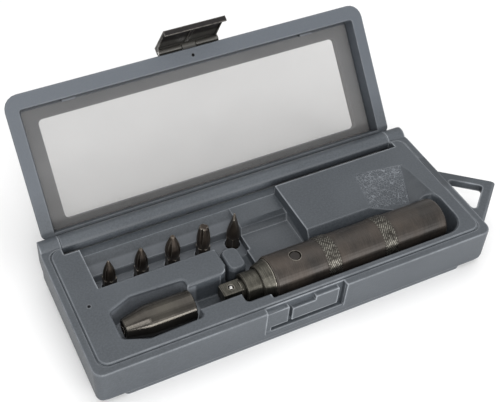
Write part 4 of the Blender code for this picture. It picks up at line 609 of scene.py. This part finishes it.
def merge_flat_faces(mesh):
    """Joins the triangles of each flat face, so that it is shaded as one."""
    shape = bmesh.new()
    shape.from_mesh(mesh)
    bmesh.ops.dissolve_limit(shape, angle_limit=FLAT_ANGLE, verts=shape.verts, edges=shape.edges)
    shape.to_mesh(mesh)
    shape.free()


def scoop_shape():
    """The finger scoop: its valley starts level with the land at the back and drops to the front."""
    rings = []
    for step in range(SCOOP_STEPS + 1):
        share = step / SCOOP_STEPS
        lines = (SCOOP_START, SCOOP_VALLEY, SCOOP_END)
        start, valley, end = (Vector(front).lerp(Vector(back), share) for front, back in lines)
        valley_z = LAND_Z - SCOOP_DEEP + (SCOOP_DEEP - SCOOP_SHALLOW) * share
        top_z = LAND_Z + SCOOP_ABOVE
        rings.append([
            (*start, LAND_Z), (*valley, valley_z), (*end, LAND_Z), (*end, top_z), (*start, top_z),
        ])
    return loft(rings)


def arc(middle_x, middle_y, radius, start, steps):
    """Points along a quarter circle, from a start angle in degrees."""
    points = []
    for step in range(steps + 1):
        angle = math.radians(start + 90 * step / steps)
        points.append((middle_x + radius * math.cos(angle), middle_y + radius * math.sin(angle)))
    return points


def knuckle_corner(way):
    """What is taken off the outer back corner of a hinge knuckle, on the left (-1) or the right (1)."""
    radius = KNUCKLE_CORNER
    middle_x, middle_y = KNUCKLE_END_X - radius, KNUCKLE_BACK_Y - radius
    outer_x, outer_y = KNUCKLE_END_X + radius, KNUCKLE_BACK_Y + radius
    rounding = arc(middle_x, middle_y, radius, 0, KNUCKLE_STEPS)
    outline = [(outer_x, outer_y), (outer_x, middle_y), *rounding, (middle_x, outer_y)]
    return loft([[(x * way, y, z) for x, y in outline] for z in (KNUCKLE_LOW_Z, KNUCKLE_HIGH_Z)])


def groove_path(inset):
    """The groove's line at an inset from the case's sides: left end, front, then right end."""
    x, y = CASE_HALF_LENGTH - inset, CASE_HALF_DEPTH - inset
    corner = GROOVE_CORNER - (inset - GROOVE_OUTER)
    left = arc(corner - x, corner - y, corner, 180, GROOVE_STEPS)
    right = arc(x - corner, corner - y, corner, 270, GROOVE_STEPS)
    return [(-x, GROOVE_BACK_Y), *left, *right, (x, GROOVE_BACK_Y)]


def groove_fill():
    """A band that leaves the groove half as deep."""
    outer, inner = groove_path(GROOVE_OUTER), groove_path(GROOVE_INNER)
    low_z, high_z = LEDGE_Z - GROOVE_FILL_BOTTOM, LEDGE_Z - GROOVE_FILL_TOP
    return loft([
        [(*far, low_z), (*near, low_z), (*near, high_z), (*far, high_z)]
        for far, near in zip(outer, inner)
    ])


def case_tray(finish):
    """The CAD's case base with a deeper scoop, rounded hinge ends and a shallower groove."""
    shape = bmesh.new()
    shape.from_mesh(frame["nodes"]["case_base"].data)
    bmesh.ops.remove_doubles(shape, verts=shape.verts, dist=WELD)
    made = piece("case_tray", shape, finish, "case", TRAY_SMOOTH_ANGLE)
    carve(made, scoop_shape(), "DIFFERENCE")
    for way in (-1, 1):
        carve(made, knuckle_corner(way), "DIFFERENCE")
    carve(made, groove_fill(), "UNION")
    merge_flat_faces(made.data)
    for face in made.data.polygons:
        face.use_smooth = True
    made.data.set_sharp_from_angle(angle=TRAY_SMOOTH_ANGLE)
    shading = made.modifiers.new("flat_faces", "WEIGHTED_NORMAL")
    shading.keep_sharp, shading.weight = True, FLAT_WEIGHT
    settle(made)
    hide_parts("case_base")


def pressed_spring(finish):
    """The main spring, copied from the CAD as a piece that rides on the driver."""
    shape = bmesh.new()
    shape.from_mesh(frame["nodes"]["main_spring"].data)
    made = piece("pressed_spring", shape, finish, "driver", SPRING_SMOOTH_ANGLE)
    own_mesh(made)
    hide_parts("main_spring")


def shank_ring(radius, height):
    """Points round the bit's hexagon."""
    ring = []
    for step in range(BLADE_POINTS):
        angle = 2 * math.pi * step / BLADE_POINTS
        off_middle = angle % HEX_SIDE_ANGLE - HEX_SIDE_ANGLE / 2
        reach = radius * (math.cos(HEX_SIDE_ANGLE / 2) / math.cos(off_middle))
        ring.append((reach * math.cos(angle), reach * math.sin(angle), height))
    return ring


def blade_ring(rise):
    """Points round the blade, from its round base (0) to its flat tip (1)."""
    share = rise ** BLADE_BELLY
    height = BLADE_BASE_HEIGHT + (SLOTTED_LENGTH - BLADE_BASE_HEIGHT) * rise
    half_tip = Vector(BLADE_TIP) / 2
    ring = []
    for step in range(BLADE_POINTS):
        angle = 2 * math.pi * step / BLADE_POINTS
        way = Vector((math.cos(angle), math.sin(angle)))
        tip = half_tip * way / max(abs(way.x), abs(way.y))
        point = (way * BLADE_BASE_RADIUS).lerp(tip, share)
        point.rotate(Matrix.Rotation(BLADE_TURN, 2))
        ring.append((*point, height))
    return ring


def slotted_bit(finish):
    """The flat-blade bit: a hexagonal shank that draws in to a narrow blade."""
    low, high = (Vector(corner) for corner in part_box("bit_slotted"))
    middle_x, middle_y = (low.x + high.x) / 2, (low.y + high.y) / 2
    rings = [
        shank_ring(HEX_RADIUS * SHANK_FOOT_SHARE, 0),
        shank_ring(HEX_RADIUS, SHANK_CHAMFER),
        shank_ring(HEX_RADIUS, BLADE_BASE_HEIGHT - SHANK_NECK),
    ]
    rings += [blade_ring(step / BLADE_STEPS) for step in range(BLADE_STEPS + 1)]
    shape = loft([[(middle_x + x, middle_y + y, low.z + z) for x, y, z in ring] for ring in rings])
    made = piece("slotted_blade", shape, finish, "bit_5", BLADE_SMOOTH_ANGLE)
    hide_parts("bit_slotted")


def floor():
    """The plane that the case stands on."""
    mesh = bpy.data.meshes.new("floor")
    half = FLOOR_HALF
    corners = [(-half, -half, 0), (half, -half, 0), (half, half, 0), (-half, half, 0)]
    mesh.from_pydata(corners, [], [(0, 1, 2, 3)])
    mesh.materials.append(floor_white())
    made = bpy.data.objects.new("floor", mesh)
    bpy.context.scene.collection.objects.link(made)


# Light and camera


def area_light(name, place, aim, size, watts):
    data = bpy.data.lights.new(name, "AREA")
    data.shape = "RECTANGLE"
    data.size, data.size_y = size
    data.energy = watts
    lamp = bpy.data.objects.new(name, data)
    lamp.location = place
    lamp.rotation_mode = "QUATERNION"
    lamp.rotation_quaternion = (Vector(aim) - Vector(place)).to_track_quat("-Z", "Y")
    bpy.context.scene.collection.objects.link(lamp)


def studio():
    """A pale world and three soft lights."""
    world = bpy.data.worlds.new("studio")
    world.use_nodes = True
    background = world.node_tree.nodes["Background"]
    background.inputs["Color"].default_value = (1, 1, 1, 1)
    background.inputs["Strength"].default_value = WORLD_STRENGTH
    bpy.context.scene.world = world
    for name, settings in LIGHTS.items():
        area_light(name, *settings)
    bpy.context.scene.view_settings.view_transform = "Standard"


def camera():
    """The photograph's view."""
    level = math.cos(ELEVATION)
    back = Vector((math.sin(AZIMUTH) * level, -math.cos(AZIMUTH) * level, math.sin(ELEVATION)))
    right = (-back).cross(Vector((0, 0, 1))).normalized()
    up = right.cross(-back)
    turned_right = right * math.cos(ROLL) + up * math.sin(ROLL)
    turned_up = up * math.cos(ROLL) - right * math.sin(ROLL)
    data = bpy.data.cameras.new("camera")
    data.sensor_width = SENSOR_WIDTH
    data.lens = FOCAL_PIXELS / PHOTO_WIDTH * SENSOR_WIDTH
    data.shift_x = (PHOTO_WIDTH / 2 - PRINCIPAL_POINT[0]) / PHOTO_WIDTH
    data.shift_y = (PRINCIPAL_POINT[1] - PHOTO_HEIGHT / 2) / PHOTO_WIDTH
    made = bpy.data.objects.new("camera", data)
    turn = Matrix((turned_right, turned_up, back)).transposed().to_4x4()
    made.matrix_world = Matrix.Translation(TARGET + back * CAMERA_DISTANCE) @ turn
    bpy.context.scene.collection.objects.link(made)
    bpy.context.scene.camera = made


# The scene


def dress():
    """Gives every CAD node its own finish, and returns the finishes by node."""
    pin_low, pin_high = (Vector(corner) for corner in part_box("cam_pin_upper"))
    pin_top = ((pin_low.x + pin_high.x) / 2, (pin_low.y + pin_high.y) / 2, pin_high.z)
    body = dark_steel(
        "body_steel", dark=(0.020, 0.017, 0.015), light=(0.044, 0.034, 0.027),
        rough=(0.36, 0.46), wear=0.6, lines=0.10, metal=0.45, pin_gap_shade_at=pin_top,
    )
    turned = dark_steel(
        "turned_steel", dark=(0.032, 0.031, 0.025), light=(0.048, 0.046, 0.037),
        rough=(0.34, 0.42), wear=0.9, lines=0.35,
    )
    holder = dark_steel(
        "holder_steel", dark=(0.044, 0.040, 0.035), light=(0.062, 0.057, 0.048),
        rough=(0.19, 0.26), wear=0.8, lines=0.06,
    )
    bit = dark_steel(
        "bit_steel", dark=(0.046, 0.037, 0.031), light=(0.090, 0.072, 0.057),
        rough=(0.34, 0.46), wear=0.8,
    )
    finishes = dict.fromkeys(frame["nodes"], bright_steel())
    finishes.update(dict.fromkeys(BITS, bit))
    finishes.update({
        "case_base": tray_plastic(), "case_lid": lid_plastic(), "window_sheet": window_clear(),
        "latch_clip": latch_metal(), "driver_body": body, "cam_pin_upper": body, "cam_pin_lower": body,
        "front_bushing": turned, "spindle": turned, "bit_holder": holder, "nose_seal": seal_rubber(),
    })
    for name, node in frame["nodes"].items():
        node.data.materials.clear()
        node.data.materials.append(finishes[name])
    return finishes


finishes = dress()
case_tray(finishes["case_base"])
slotted_bit(finishes["bit_slotted"])
pressed_spring(finishes["main_spring"])
knurled = knurl_steel()
for place, start in KNURL_STARTS.items():
    knurl(f"knurl_{place}", start, knurled)
floor()
studio()
camera()
